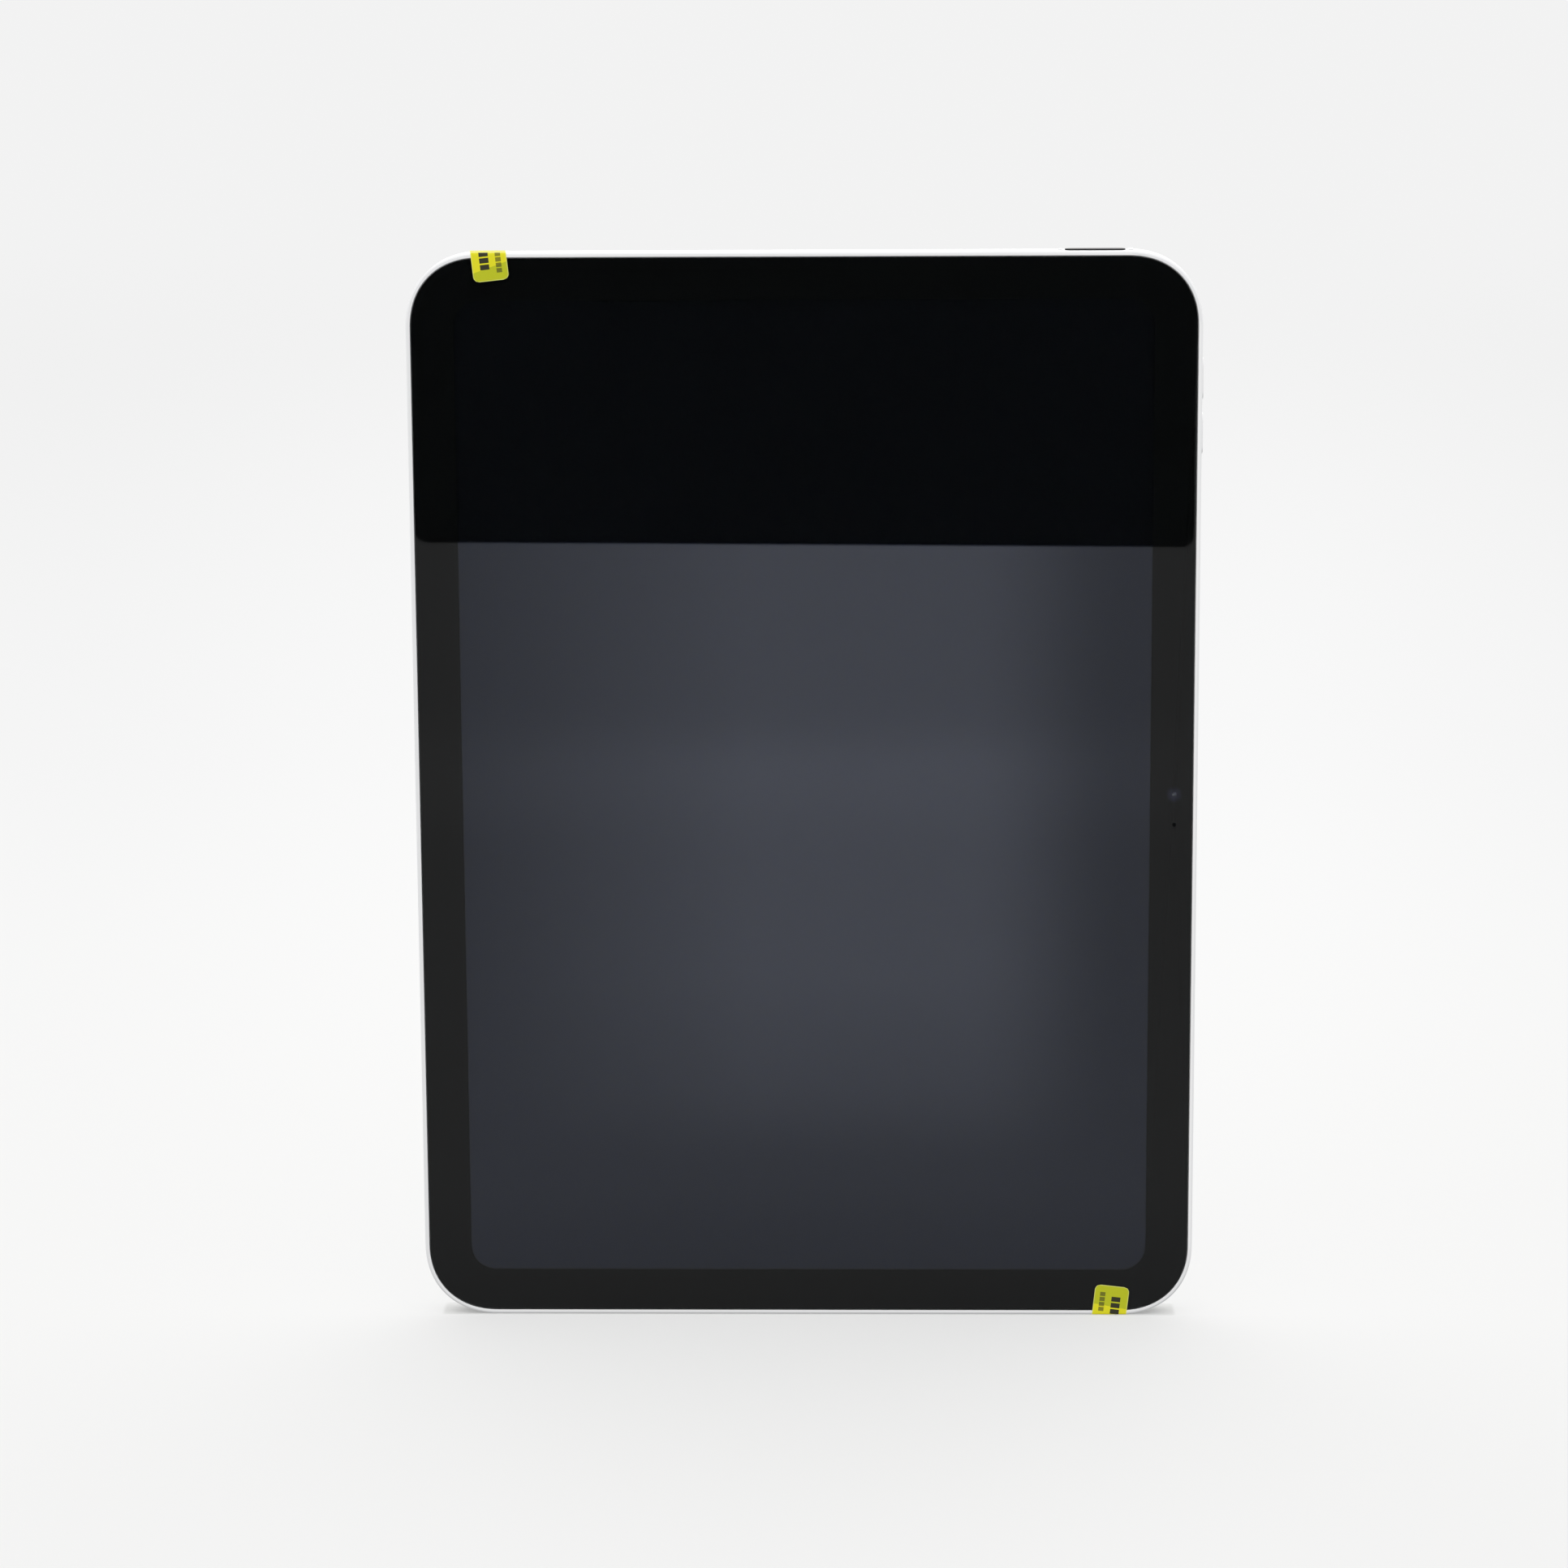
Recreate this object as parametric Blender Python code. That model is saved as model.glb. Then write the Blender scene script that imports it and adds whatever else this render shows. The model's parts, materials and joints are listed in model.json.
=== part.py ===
"""Tablet computer built from separate named pieces, in metres with +Z up.

The tablet stands upright on its short bottom edge. The screen faces -Y, +X is to the
right of someone looking at the screen, and the origin is the middle of the bottom edge.
"""

from math import cos, pi, sin

import bmesh
import bpy

# Driving dimensions.
WIDTH = 0.1795
HEIGHT = 0.2486
THICKNESS = 0.0070
CAMERA_BUMP = 0.0010
CORNER_REACH = 0.0170
CORNER_POWER = 2.2
RIM = 0.0010
WALL = 0.0033
FLOOR = 0.0008
GAP = 0.0001

# The screen side and the back, placed so that the camera bump and the glass are centred on Y.
FRONT = -(THICKNESS + CAMERA_BUMP) / 2
BACK = FRONT + THICKNESS
MID_Y = (FRONT + BACK) / 2
MID_Z = HEIGHT / 2
CAVITY_BACK = BACK - FLOOR
SIDE_INNER = WIDTH / 2 - WALL
TOP_INNER = HEIGHT - WALL

# The display stack, from the glass inwards.
GLASS_THICKNESS = 0.0007
GASKET_THICKNESS = 0.00015
LEDGE_Y = FRONT + GLASS_THICKNESS + GASKET_THICKNESS + 2 * GAP
DISPLAY_WIDTH = 0.1630
DISPLAY_HEIGHT = 0.2330
LCD_THICKNESS = 0.0011
DIFFUSER_THICKNESS = 0.00025
GUIDE_THICKNESS = 0.00055
PLATE_THICKNESS = 0.0003

LED_BAR_HEIGHT = 0.0026
DRIVER_BOARD_THICKNESS = 0.0006
FLEX_THICKNESS = 0.0001

# Inner pieces.
CELL_WIDTH = 0.0610
CELL_LENGTH = 0.1700
CELL_THICKNESS = 0.0023
CELL_LOW = 0.0380
CELL_INNER_X = 0.0190
BOARD_WIDTH = 0.0340
BOARD_LOW = 0.0450
BOARD_HIGH = 0.2050
BOARD_FRONT = 0.00115
BOARD_THICKNESS = 0.0008
CHIP_THICKNESS = 0.0008
SHIELD_FRONT = BOARD_FRONT - 0.0011
SHIELD_WALL = 0.00015
SCREW_RADIUS = 0.0005
SCREW_HEAD_RADIUS = 0.0011
SCREW_HEAD = 0.0004
SCREW_HOLE = 0.0007
SPEAKER_DEPTH = 0.0195
MESH_THICKNESS = 0.0003
MAGNET_DEPTH = 0.0022
INNER_FRONT = -0.00035
INNER_BACK = CAVITY_BACK - GAP

# Openings in the edges.
HOLE_PITCH = 0.00254
HOLE_LENGTH = 0.0018
HOLE_WIDTH = 0.0009
SPEAKER_START = 0.0298
USB_WIDTH = 0.0090
USB_HEIGHT = 0.0032
USB_DEPTH = 0.0070
USB_WALL = 0.00030
USB_FRONT = 0.0005
USB_END_WALL = 0.0004
MICROPHONE_RADIUS = 0.0005

# Buttons.
BUTTON_THICKNESS = 0.0034
BUTTON_PROUD = 0.00035
BUTTON_FLANGE = 0.0006
BUTTON_TRAVEL = 0.00025
TOP_BUTTON_LENGTH = 0.0168
TOP_BUTTON_X = 0.0657
VOLUME_LENGTH = 0.0094
SWITCH_RADIUS = 0.0015
SWITCH_HEIGHT = 0.0007
BUTTON_BRACKET_THICKNESS = 0.0005
VOLUME_UP_Z = HEIGHT - 0.0290
VOLUME_DOWN_Z = VOLUME_UP_Z - 0.0124
SLOT_CLEARANCE = 0.0001
CORNER_CLEARANCE = 0.0002
SENSOR_COVER_LENGTH = 0.0136
SENSOR_COVER_WIDTH = 0.0025

# Cameras and sensors.
FRONT_CAMERA_X = WIDTH / 2 - RIM - 0.0043
SENSOR_DROP = 0.0070
SENSOR_HOLE_RADIUS = 0.00044
REAR_CAMERA_X = WIDTH / 2 - 0.0145
REAR_CAMERA_Z = HEIGHT - 0.0145
RING_RADIUS = 0.0066
RING_WIDTH = 0.0017
CAMERA_WINDOW_DEPTH = 0.0002
CAMERA_WINDOW_THICKNESS = 0.0004
MICROPHONE_DROP = 0.0112
SIDE_MICROPHONE_Z = MID_Z + 0.0300

# Keyboard contacts on the left long edge.
CONTACT_PITCH = 0.0050
CONTACT_RADIUS = 0.0011

# Stickers.
LABEL_WIDTH = 0.0083
LABEL_THICKNESS = 0.0001
LABEL_REACH = 0.0062
TOP_LABEL_X = -0.0703
BOTTOM_LABEL_X = 0.0711
LABEL_DROP = 0.0068

# Colour (linear), roughness and metallic value of each finish.
FINISHES = {
    "aluminium": ((0.76, 0.77, 0.78), 0.38, 1.0),
    "glass": ((0.012, 0.012, 0.014), 0.05, 0.0),
    "lens": ((0.020, 0.022, 0.045), 0.05, 0.0),
    "lcd": ((0.030, 0.032, 0.040), 0.15, 0.0),
    "film": ((0.80, 0.80, 0.78), 0.40, 0.0),
    "steel": ((0.55, 0.55, 0.56), 0.35, 1.0),
    "pouch": ((0.045, 0.047, 0.050), 0.50, 0.0),
    "board": ((0.010, 0.045, 0.030), 0.50, 0.0),
    "chip": ((0.025, 0.025, 0.027), 0.45, 0.0),
    "plastic": ((0.022, 0.022, 0.024), 0.55, 0.0),
    "flex": ((0.200, 0.075, 0.015), 0.45, 0.0),
    "rubber": ((0.015, 0.015, 0.015), 0.80, 0.0),
    "gold": ((0.80, 0.55, 0.22), 0.30, 1.0),
    "magnet": ((0.45, 0.45, 0.46), 0.30, 1.0),
    "sticker": ((0.72, 0.75, 0.02), 0.50, 0.0),
}


# Outlines: lists of points that run anticlockwise.


def corner_outline(width, height, reach, centre=(0.0, MID_Z), steps=9):
    """A rectangle whose corners are superellipse arcs."""
    points = []
    for sign_x, sign_z, backwards in ((1, 1, 0), (-1, 1, 1), (-1, -1, 0), (1, -1, 1)):
        for i in range(steps + 1):
            angle = pi / 2 * ((steps - i) if backwards else i) / steps
            out_x = reach * cos(angle) ** (2 / CORNER_POWER) - reach
            out_z = reach * sin(angle) ** (2 / CORNER_POWER) - reach
            x = centre[0] + sign_x * (width / 2 + out_x)
            z = centre[1] + sign_z * (height / 2 + out_z)
            points.append((x, z))
    return points


def inset_outline(inset):
    """The tablet's own outline, moved inwards."""
    return corner_outline(WIDTH - 2 * inset, HEIGHT - 2 * inset, CORNER_REACH - inset)


def rectangle(low_a, high_a, low_b, high_b):
    return [(low_a, low_b), (high_a, low_b), (high_a, high_b), (low_a, high_b)]


def circle(centre, radius, sides=20):
    turns = [2 * pi * i / sides for i in range(sides)]
    return [(centre[0] + radius * cos(t), centre[1] + radius * sin(t)) for t in turns]


def pill(centre, length, width, steps=4):
    """A slot with round ends that runs along the first coordinate."""
    points = []
    for side, start in ((1, -pi / 2), (-1, pi / 2)):
        for i in range(steps + 1):
            turn = start + pi * i / steps
            a = centre[0] + side * (length - width) / 2 + width / 2 * cos(turn)
            points.append((a, centre[1] + width / 2 * sin(turn)))
    return points


def swap(points):
    """The same outline with its coordinates exchanged."""
    return [(b, a) for a, b in points]


# Solids.


def place(point, along, axis):
    """A point of an outline that is swept along an axis."""
    a, b = point
    if axis == "X":
        return (along, a, b)
    if axis == "Y":
        return (a, along, b)
    return (a, b, along)


def add_rings(mesh, sections, axis):
    return [[mesh.verts.new(place(p, along, axis)) for p in points] for points, along in sections]


def join_rings(mesh, first, second):
    count = len(first)
    for i in range(count):
        j = (i + 1) % count
        mesh.faces.new((first[i], first[j], second[j], second[i]))


def add_loft(mesh, sections, axis="Y"):
    """A closed body through outlines that all have as many points, with flat ends."""
    rings = add_rings(mesh, sections, axis)
    for first, second in zip(rings, rings[1:]):
        join_rings(mesh, first, second)
    mesh.faces.new(rings[0])
    mesh.faces.new(rings[-1])


def add_frame(mesh, outer, inner, low, high, axis="Y"):
    """A closed ring of rectangular section between two outlines."""
    rings = add_rings(mesh, [(outer, low), (outer, high), (inner, high), (inner, low)], axis)
    for first, second in zip(rings, rings[1:] + rings[:1]):
        join_rings(mesh, first, second)


def make_material(name, finish):
    colour, roughness, metallic = FINISHES[finish]
    material = bpy.data.materials.new(name)
    material.use_nodes = True
    shader = material.node_tree.nodes["Principled BSDF"]
    shader.inputs["Base Color"].default_value = (*colour, 1.0)
    shader.inputs["Roughness"].default_value = roughness
    shader.inputs["Metallic"].default_value = metallic
    return material


def make_object(name, mesh, finish=None):
    """Turns a bmesh into an object; without a finish it is a cutter."""
    bmesh.ops.recalc_face_normals(mesh, faces=mesh.faces)
    data = bpy.data.meshes.new(name)
    mesh.to_mesh(data)
    mesh.free()
    item = bpy.data.objects.new(name, data)
    bpy.context.scene.collection.objects.link(item)
    if finish:
        data.materials.append(make_material(name, finish))
        data.shade_smooth()
        data.set_sharp_from_angle(angle=pi / 6)
    else:
        item.hide_render = True
        item.display_type = "WIRE"
    return item


def loft(name, finish, sections, axis="Y"):
    mesh = bmesh.new()
    add_loft(mesh, sections, axis)
    return make_object(name, mesh, finish)


def prism(name, finish, outline, low, high, axis="Y"):
    return loft(name, finish, [(outline, low), (outline, high)], axis)


def frame_ring(name, finish, outer, inner, low, high, axis="Y"):
    mesh = bmesh.new()
    add_frame(mesh, outer, inner, low, high, axis)
    return make_object(name, mesh, finish)


def turned(name, finish, centre, profile, sides=20):
    """A round piece about an axis along Y, from (radius, y) steps."""
    return loft(name, finish, [(circle(centre, radius, sides), y) for radius, y in profile])


def cut(item, prisms):
    """Cuts prisms, each an outline, its two ends and its axis, out of a piece."""
    mesh = bmesh.new()
    for outline, low, high, axis in prisms:
        add_loft(mesh, [(outline, low), (outline, high)], axis)
    boolean = item.modifiers.new("holes", "BOOLEAN")
    boolean.solver = "EXACT"
    boolean.object = make_object(item.name + "_cutter", mesh)


# Where the holes are.


def hole_centres(start, count, side):
    return [side * (start + HOLE_LENGTH / 2 + HOLE_PITCH * i) for i in range(count)]


SPEAKERS = {
    "top_left": (hole_centres(SPEAKER_START, 12, -1), "top"),
    "top_right": (hole_centres(SPEAKER_START, 9, 1), "top"),
    "bottom_left": (hole_centres(SPEAKER_START, 12, -1), "bottom"),
    "bottom_right": (hole_centres(SPEAKER_START, 12, 1), "bottom"),
}
CONTACT_HEIGHTS = [MID_Z + CONTACT_PITCH * step for step in (-1, 0, 1)]
VOLUME_BUTTONS = {"volume_up": VOLUME_UP_Z, "volume_down": VOLUME_DOWN_Z}
BOARD_SCREWS = [(x, z) for x in (-0.0145, 0.0145) for z in (0.0500, 0.2000)]
BRACKET_SCREWS = [(-0.0100, 0.0070), (0.0100, 0.0070)]


def top_slot(clearance=0.0):
    length = TOP_BUTTON_LENGTH + 2 * clearance
    return pill((TOP_BUTTON_X, MID_Y), length, BUTTON_THICKNESS + 2 * clearance)


def volume_slot(height, clearance=0.0):
    """The outline, in (y, z), of a volume button or of its slot."""
    length = VOLUME_LENGTH + 2 * clearance
    return swap(pill((height, MID_Y), length, BUTTON_THICKNESS + 2 * clearance))


def housing_holes():
    holes = []
    beyond = 0.0010
    for centres, edge in SPEAKERS.values():
        low = TOP_INNER - beyond if edge == "top" else -beyond
        for x in centres:
            outline = pill((x, MID_Y), HOLE_LENGTH, HOLE_WIDTH, steps=3)
            holes.append((outline, low, low + WALL + 2 * beyond, "Z"))
    usb = pill((0.0, MID_Y), USB_WIDTH, USB_HEIGHT, steps=6)
    holes.append((usb, -beyond, WALL + beyond, "Z"))
    holes.append((top_slot(SLOT_CLEARANCE), TOP_INNER - beyond, HEIGHT + beyond, "Z"))
    for height in VOLUME_BUTTONS.values():
        holes.append((volume_slot(height, SLOT_CLEARANCE), SIDE_INNER - beyond, WIDTH / 2 + beyond, "X"))
    for height in CONTACT_HEIGHTS:
        outline = circle((MID_Y, height), CONTACT_RADIUS + GAP, 12)
        holes.append((outline, -WIDTH / 2 - beyond, -SIDE_INNER + beyond, "X"))
    microphone = circle((MID_Y, SIDE_MICROPHONE_Z), MICROPHONE_RADIUS, 8)
    holes.append((microphone, SIDE_INNER - beyond, WIDTH / 2 + beyond, "X"))
    camera = (REAR_CAMERA_X, REAR_CAMERA_Z)
    holes.append((circle(camera, RING_RADIUS + GAP, 32), CAVITY_BACK - beyond, BACK + beyond, "Y"))
    below = (REAR_CAMERA_X, REAR_CAMERA_Z - MICROPHONE_DROP)
    holes.append((circle(below, MICROPHONE_RADIUS, 8), CAVITY_BACK - beyond, BACK + beyond, "Y"))
    return holes


# The pieces.


def build_housing():
    """A flat-sided aluminium tray, open at the front, with a ledge that carries the glass."""
    back_edge = 0.0008
    front_edge = 0.0006
    sections = [
        (inset_outline(back_edge), BACK),
        (inset_outline(0.3 * back_edge), BACK - 0.3 * back_edge),
        (inset_outline(0.0), BACK - back_edge),
        (inset_outline(0.0), FRONT + front_edge),
        (inset_outline(0.3 * front_edge), FRONT + 0.3 * front_edge),
        (inset_outline(front_edge), FRONT),
        (inset_outline(RIM), FRONT),
        (inset_outline(RIM), LEDGE_Y),
        (inset_outline(WALL), LEDGE_Y),
        (inset_outline(WALL), CAVITY_BACK),
    ]
    cut(loft("rear_housing", "aluminium", sections), housing_holes())


def build_glass():
    edge = RIM + GAP
    soft = 0.0002
    low = FRONT + GLASS_THICKNESS + GAP
    sections = [
        (inset_outline(edge + soft), FRONT),
        (inset_outline(edge), FRONT + soft),
        (inset_outline(edge), FRONT + GLASS_THICKNESS),
    ]
    glass = loft("cover_glass", "glass", sections)
    hole = circle((FRONT_CAMERA_X, MID_Z - SENSOR_DROP), SENSOR_HOLE_RADIUS, 12)
    cut(glass, [(hole, FRONT - GLASS_THICKNESS, low, "Y")])
    outer = inset_outline(RIM + 0.0003)
    frame_ring("cover_glass_gasket", "rubber", outer, inset_outline(WALL), low, low + GASKET_THICKNESS)


def build_display():
    """The display's layers, one behind the other, from the cell to its steel plate."""
    layers = (
        ("lcd_panel", "lcd", LCD_THICKNESS, 0.0),
        ("diffuser_film", "film", DIFFUSER_THICKNESS, 0.0010),
        ("light_guide_plate", "film", GUIDE_THICKNESS, 0.0010),
        ("display_back_plate", "steel", PLATE_THICKNESS, 0.0),
    )
    y = LEDGE_Y + GAP
    for name, finish, thickness, inset in layers:
        half = DISPLAY_WIDTH / 2 - inset
        low = MID_Z - DISPLAY_HEIGHT / 2 + inset
        high = MID_Z + DISPLAY_HEIGHT / 2 - inset
        if name == "light_guide_plate":
            bar = rectangle(-half, half, low, low + LED_BAR_HEIGHT)
            prism("backlight_led_bar", "film", bar, y, y + thickness)
            low += LED_BAR_HEIGHT + 4 * GAP
        prism(name, finish, rectangle(-half, half, low, high), y, y + thickness)
        y += thickness + GAP
    board = rectangle(-0.0240, 0.0240, 0.0095, 0.0150)
    prism("display_driver_board", "board", board, y, y + DRIVER_BOARD_THICKNESS)
    flex = rectangle(-0.0100, 0.0100, 0.0155, 0.0600)
    prism("display_flex", "flex", flex, y, y + FLEX_THICKNESS)


def build_battery():
    corner = 0.0020
    soft = 0.0004
    back = INNER_FRONT + CELL_THICKNESS
    for side, word in ((-1, "left"), (1, "right")):
        centre = (side * (CELL_INNER_X + CELL_WIDTH / 2), CELL_LOW + CELL_LENGTH / 2)
        outer = corner_outline(CELL_WIDTH, CELL_LENGTH, corner, centre, steps=2)
        size = (CELL_WIDTH - 2 * soft, CELL_LENGTH - 2 * soft, corner - soft)
        edge = corner_outline(*size, centre, steps=2)
        sections = [
            (edge, INNER_FRONT),
            (outer, INNER_FRONT + soft),
            (outer, back - soft),
            (edge, back),
        ]
        loft(f"battery_cell_{word}", "pouch", sections)
    board = rectangle(-0.0500, 0.0500, 0.2090, 0.2160)
    front = INNER_BACK - 0.0015
    prism("battery_protection_board", "board", board, front, front + 0.0010)


def build_screw(name, centre, seat, end):
    """A pan-headed screw that points to the back, with its head in front of its seat."""
    under = seat - 0.3 * GAP
    profile = [
        (SCREW_HEAD_RADIUS - 0.0003, seat - SCREW_HEAD),
        (SCREW_HEAD_RADIUS, seat - SCREW_HEAD + GAP),
        (SCREW_HEAD_RADIUS, under),
        (SCREW_RADIUS, under),
        (SCREW_RADIUS, end),
    ]
    turned(name, "steel", centre, profile, 12)


def build_logic_board():
    half = BOARD_WIDTH / 2
    back = BOARD_FRONT + BOARD_THICKNESS
    outline = rectangle(-half, half, BOARD_LOW, BOARD_HIGH)
    board = prism("logic_board", "board", outline, BOARD_FRONT, back)
    ends = (BOARD_FRONT - BOARD_THICKNESS, back + BOARD_THICKNESS, "Y")
    cut(board, [(circle(at, SCREW_HOLE, 12), *ends) for at in BOARD_SCREWS])
    for number, at in enumerate(BOARD_SCREWS, 1):
        build_screw(f"board_screw_{number}", at, BOARD_FRONT, INNER_BACK)
    chips = (
        ("processor_chip", (0.0, 0.1700), 0.0130, 0.0130),
        ("storage_chip", (0.0, 0.1400), 0.0120, 0.0160),
        ("power_chip", (-0.0030, 0.1000), 0.0080, 0.0080),
    )
    for name, (x, z), width, length in chips:
        outline = rectangle(x - width / 2, x + width / 2, z - length / 2, z + length / 2)
        prism(name, "chip", outline, BOARD_FRONT - CHIP_THICKNESS, BOARD_FRONT - GAP / 2)
    half = 0.0130
    low = 0.1250
    high = 0.1850
    wall = SHIELD_WALL
    outer = rectangle(-half, half, low, high)
    inner = rectangle(-half + wall, half - wall, low + wall, high - wall)
    rear = BOARD_FRONT - GAP / 2
    sections = [(outer, SHIELD_FRONT), (outer, rear), (inner, rear), (inner, SHIELD_FRONT + wall)]
    loft("board_shield", "steel", sections)


def build_speakers():
    for place_name, (centres, edge) in SPEAKERS.items():
        low = min(centres) - HOLE_PITCH
        high = max(centres) + HOLE_PITCH
        if edge == "top":
            mesh_low = TOP_INNER - GAP - MESH_THICKNESS
            box_low = TOP_INNER - SPEAKER_DEPTH
            box_high = mesh_low - GAP
        else:
            mesh_low = WALL + GAP
            box_low = mesh_low + MESH_THICKNESS + GAP
            box_high = WALL + SPEAKER_DEPTH
        strip = rectangle(low, high, MID_Y - HOLE_WIDTH, MID_Y + HOLE_WIDTH)
        prism(f"speaker_mesh_{place_name}", "rubber", strip, mesh_low, mesh_low + MESH_THICKNESS, "Z")
        rim = 0.0020
        outline = rectangle(low - rim, high + rim, box_low, box_high)
        prism(f"speaker_{place_name}", "plastic", outline, INNER_FRONT, INNER_BACK)


def build_usb_port():
    """The charging port: a steel sleeve closed at its inner end, with a tongue inside."""
    width = USB_WIDTH - 2 * GAP
    height = USB_HEIGHT - 2 * GAP
    outer = pill((0.0, MID_Y), width, height, steps=6)
    inner = pill((0.0, MID_Y), width - 2 * USB_WALL, height - 2 * USB_WALL, steps=6)
    end = USB_FRONT + USB_DEPTH
    inner_end = end - USB_END_WALL
    sections = [(outer, end), (outer, USB_FRONT), (inner, USB_FRONT), (inner, inner_end)]
    loft("usb_c_shell", "steel", sections, "Z")
    half_width = 0.00335
    half_height = 0.00035
    tongue = rectangle(-half_width, half_width, MID_Y - half_height, MID_Y + half_height)
    prism("usb_c_tongue", "plastic", tongue, USB_FRONT + 0.0008, inner_end - GAP / 2, "Z")
    bracket_front = MID_Y + USB_HEIGHT / 2 + GAP
    bracket_back = bracket_front + 0.0003
    outline = rectangle(-0.0125, 0.0125, 0.0045, 0.0090)
    bracket = prism("usb_c_bracket", "steel", outline, bracket_front, bracket_back)
    ends = (bracket_front - 0.0010, bracket_back + 0.0010, "Y")
    cut(bracket, [(circle(at, SCREW_HOLE, 12), *ends) for at in BRACKET_SCREWS])
    for number, at in enumerate(BRACKET_SCREWS, 1):
        build_screw(f"bracket_screw_{number}", at, bracket_front, INNER_BACK)
    flex = rectangle(-0.0050, 0.0050, 0.0095, BOARD_LOW - 3 * GAP)
    flex_front = BOARD_FRONT + 3 * GAP
    prism("charge_port_flex", "flex", flex, flex_front, flex_front + FLEX_THICKNESS)


def build_front_camera():
    centre = (FRONT_CAMERA_X, MID_Z)
    front = FRONT + GLASS_THICKNESS + GAP
    profile = [(0.0018, 0.0008), (0.0018, front), (0.0014, front), (0.0012, front + 0.0006)]
    turned("front_camera_module", "plastic", centre, profile)
    lens = [(0.0006, front + 0.0001), (0.0010, front + 0.0003), (0.0011, front + 0.00055)]
    turned("front_camera_lens", "lens", centre, lens)
    sensor = circle((FRONT_CAMERA_X, MID_Z - SENSOR_DROP), 0.0010, 12)
    prism("light_sensor", "chip", sensor, front, front + 0.0009)


def build_rear_camera():
    centre = (REAR_CAMERA_X, REAR_CAMERA_Z)
    top = BACK + CAMERA_BUMP
    inner_radius = RING_RADIUS - RING_WIDTH
    chamfer = 0.0003
    mesh = bmesh.new()
    profile = (
        (RING_RADIUS, CAVITY_BACK),
        (RING_RADIUS, top - chamfer),
        (RING_RADIUS - chamfer, top),
        (inner_radius, top),
        (inner_radius, CAVITY_BACK),
    )
    rings = add_rings(mesh, [(circle(centre, radius, 32), y) for radius, y in profile], "Y")
    for first, second in zip(rings, rings[1:] + rings[:1]):
        join_rings(mesh, first, second)
    make_object("rear_camera_ring", mesh, "aluminium")
    window = circle(centre, inner_radius - GAP, 32)
    window_front = top - CAMERA_WINDOW_DEPTH - CAMERA_WINDOW_THICKNESS
    prism("rear_camera_window", "lens", window, window_front, top - CAMERA_WINDOW_DEPTH)
    module_front = window_front - 3 * GAP
    profile = [
        (0.0046, INNER_FRONT),
        (0.0046, module_front),
        (0.0024, module_front),
        (0.0020, module_front - 0.0008),
    ]
    turned("rear_camera_module", "plastic", centre, profile)
    lens = [
        (0.0012, module_front - 0.0001),
        (0.0017, module_front - 0.0004),
        (0.0018, module_front - 0.0007),
    ]
    turned("rear_camera_lens", "lens", centre, lens)
    x = REAR_CAMERA_X
    z = REAR_CAMERA_Z - MICROPHONE_DROP
    outline = rectangle(x - 0.0018, x + 0.0018, z - 0.0014, z + 0.0014)
    prism("rear_microphone", "steel", outline, INNER_BACK - 0.0010, INNER_BACK)


def build_top_button():
    """The top button with its dark sensor cover; it slides along Z towards its switch."""
    flange_top = TOP_INNER - CORNER_CLEARANCE
    flange = pill((TOP_BUTTON_X, MID_Y), TOP_BUTTON_LENGTH + 0.0010, BUTTON_THICKNESS + 0.0008)
    top = HEIGHT + BUTTON_PROUD
    centre = (TOP_BUTTON_X, MID_Y)
    edge = pill(centre, TOP_BUTTON_LENGTH - 2 * GAP, BUTTON_THICKNESS - 2 * GAP)
    recess = pill(centre, SENSOR_COVER_LENGTH + GAP, SENSOR_COVER_WIDTH + GAP)
    depth = 0.0003
    sections = [
        (flange, flange_top - BUTTON_FLANGE),
        (flange, flange_top),
        (top_slot(), flange_top),
        (top_slot(), top - GAP),
        (edge, top),
        (recess, top),
        (recess, top - depth),
    ]
    loft("top_button", "aluminium", sections, "Z")
    cover = pill(centre, SENSOR_COVER_LENGTH, SENSOR_COVER_WIDTH)
    cover_low = top - depth + 0.2 * GAP
    prism("fingerprint_sensor_cover", "glass", cover, cover_low, top - 0.3 * GAP, "Z")
    switch_top = flange_top - BUTTON_FLANGE - BUTTON_TRAVEL - GAP / 2
    switch = circle(centre, SWITCH_RADIUS, 16)
    prism("top_button_switch", "steel", switch, switch_top - SWITCH_HEIGHT, switch_top, "Z")
    bracket_top = switch_top - SWITCH_HEIGHT - GAP
    half = 0.0080
    deep = 0.0016
    bracket = rectangle(TOP_BUTTON_X - half, TOP_BUTTON_X + half, MID_Y - deep, MID_Y + deep)
    bracket_low = bracket_top - BUTTON_BRACKET_THICKNESS
    prism("top_button_bracket", "steel", bracket, bracket_low, bracket_top, "Z")


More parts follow.
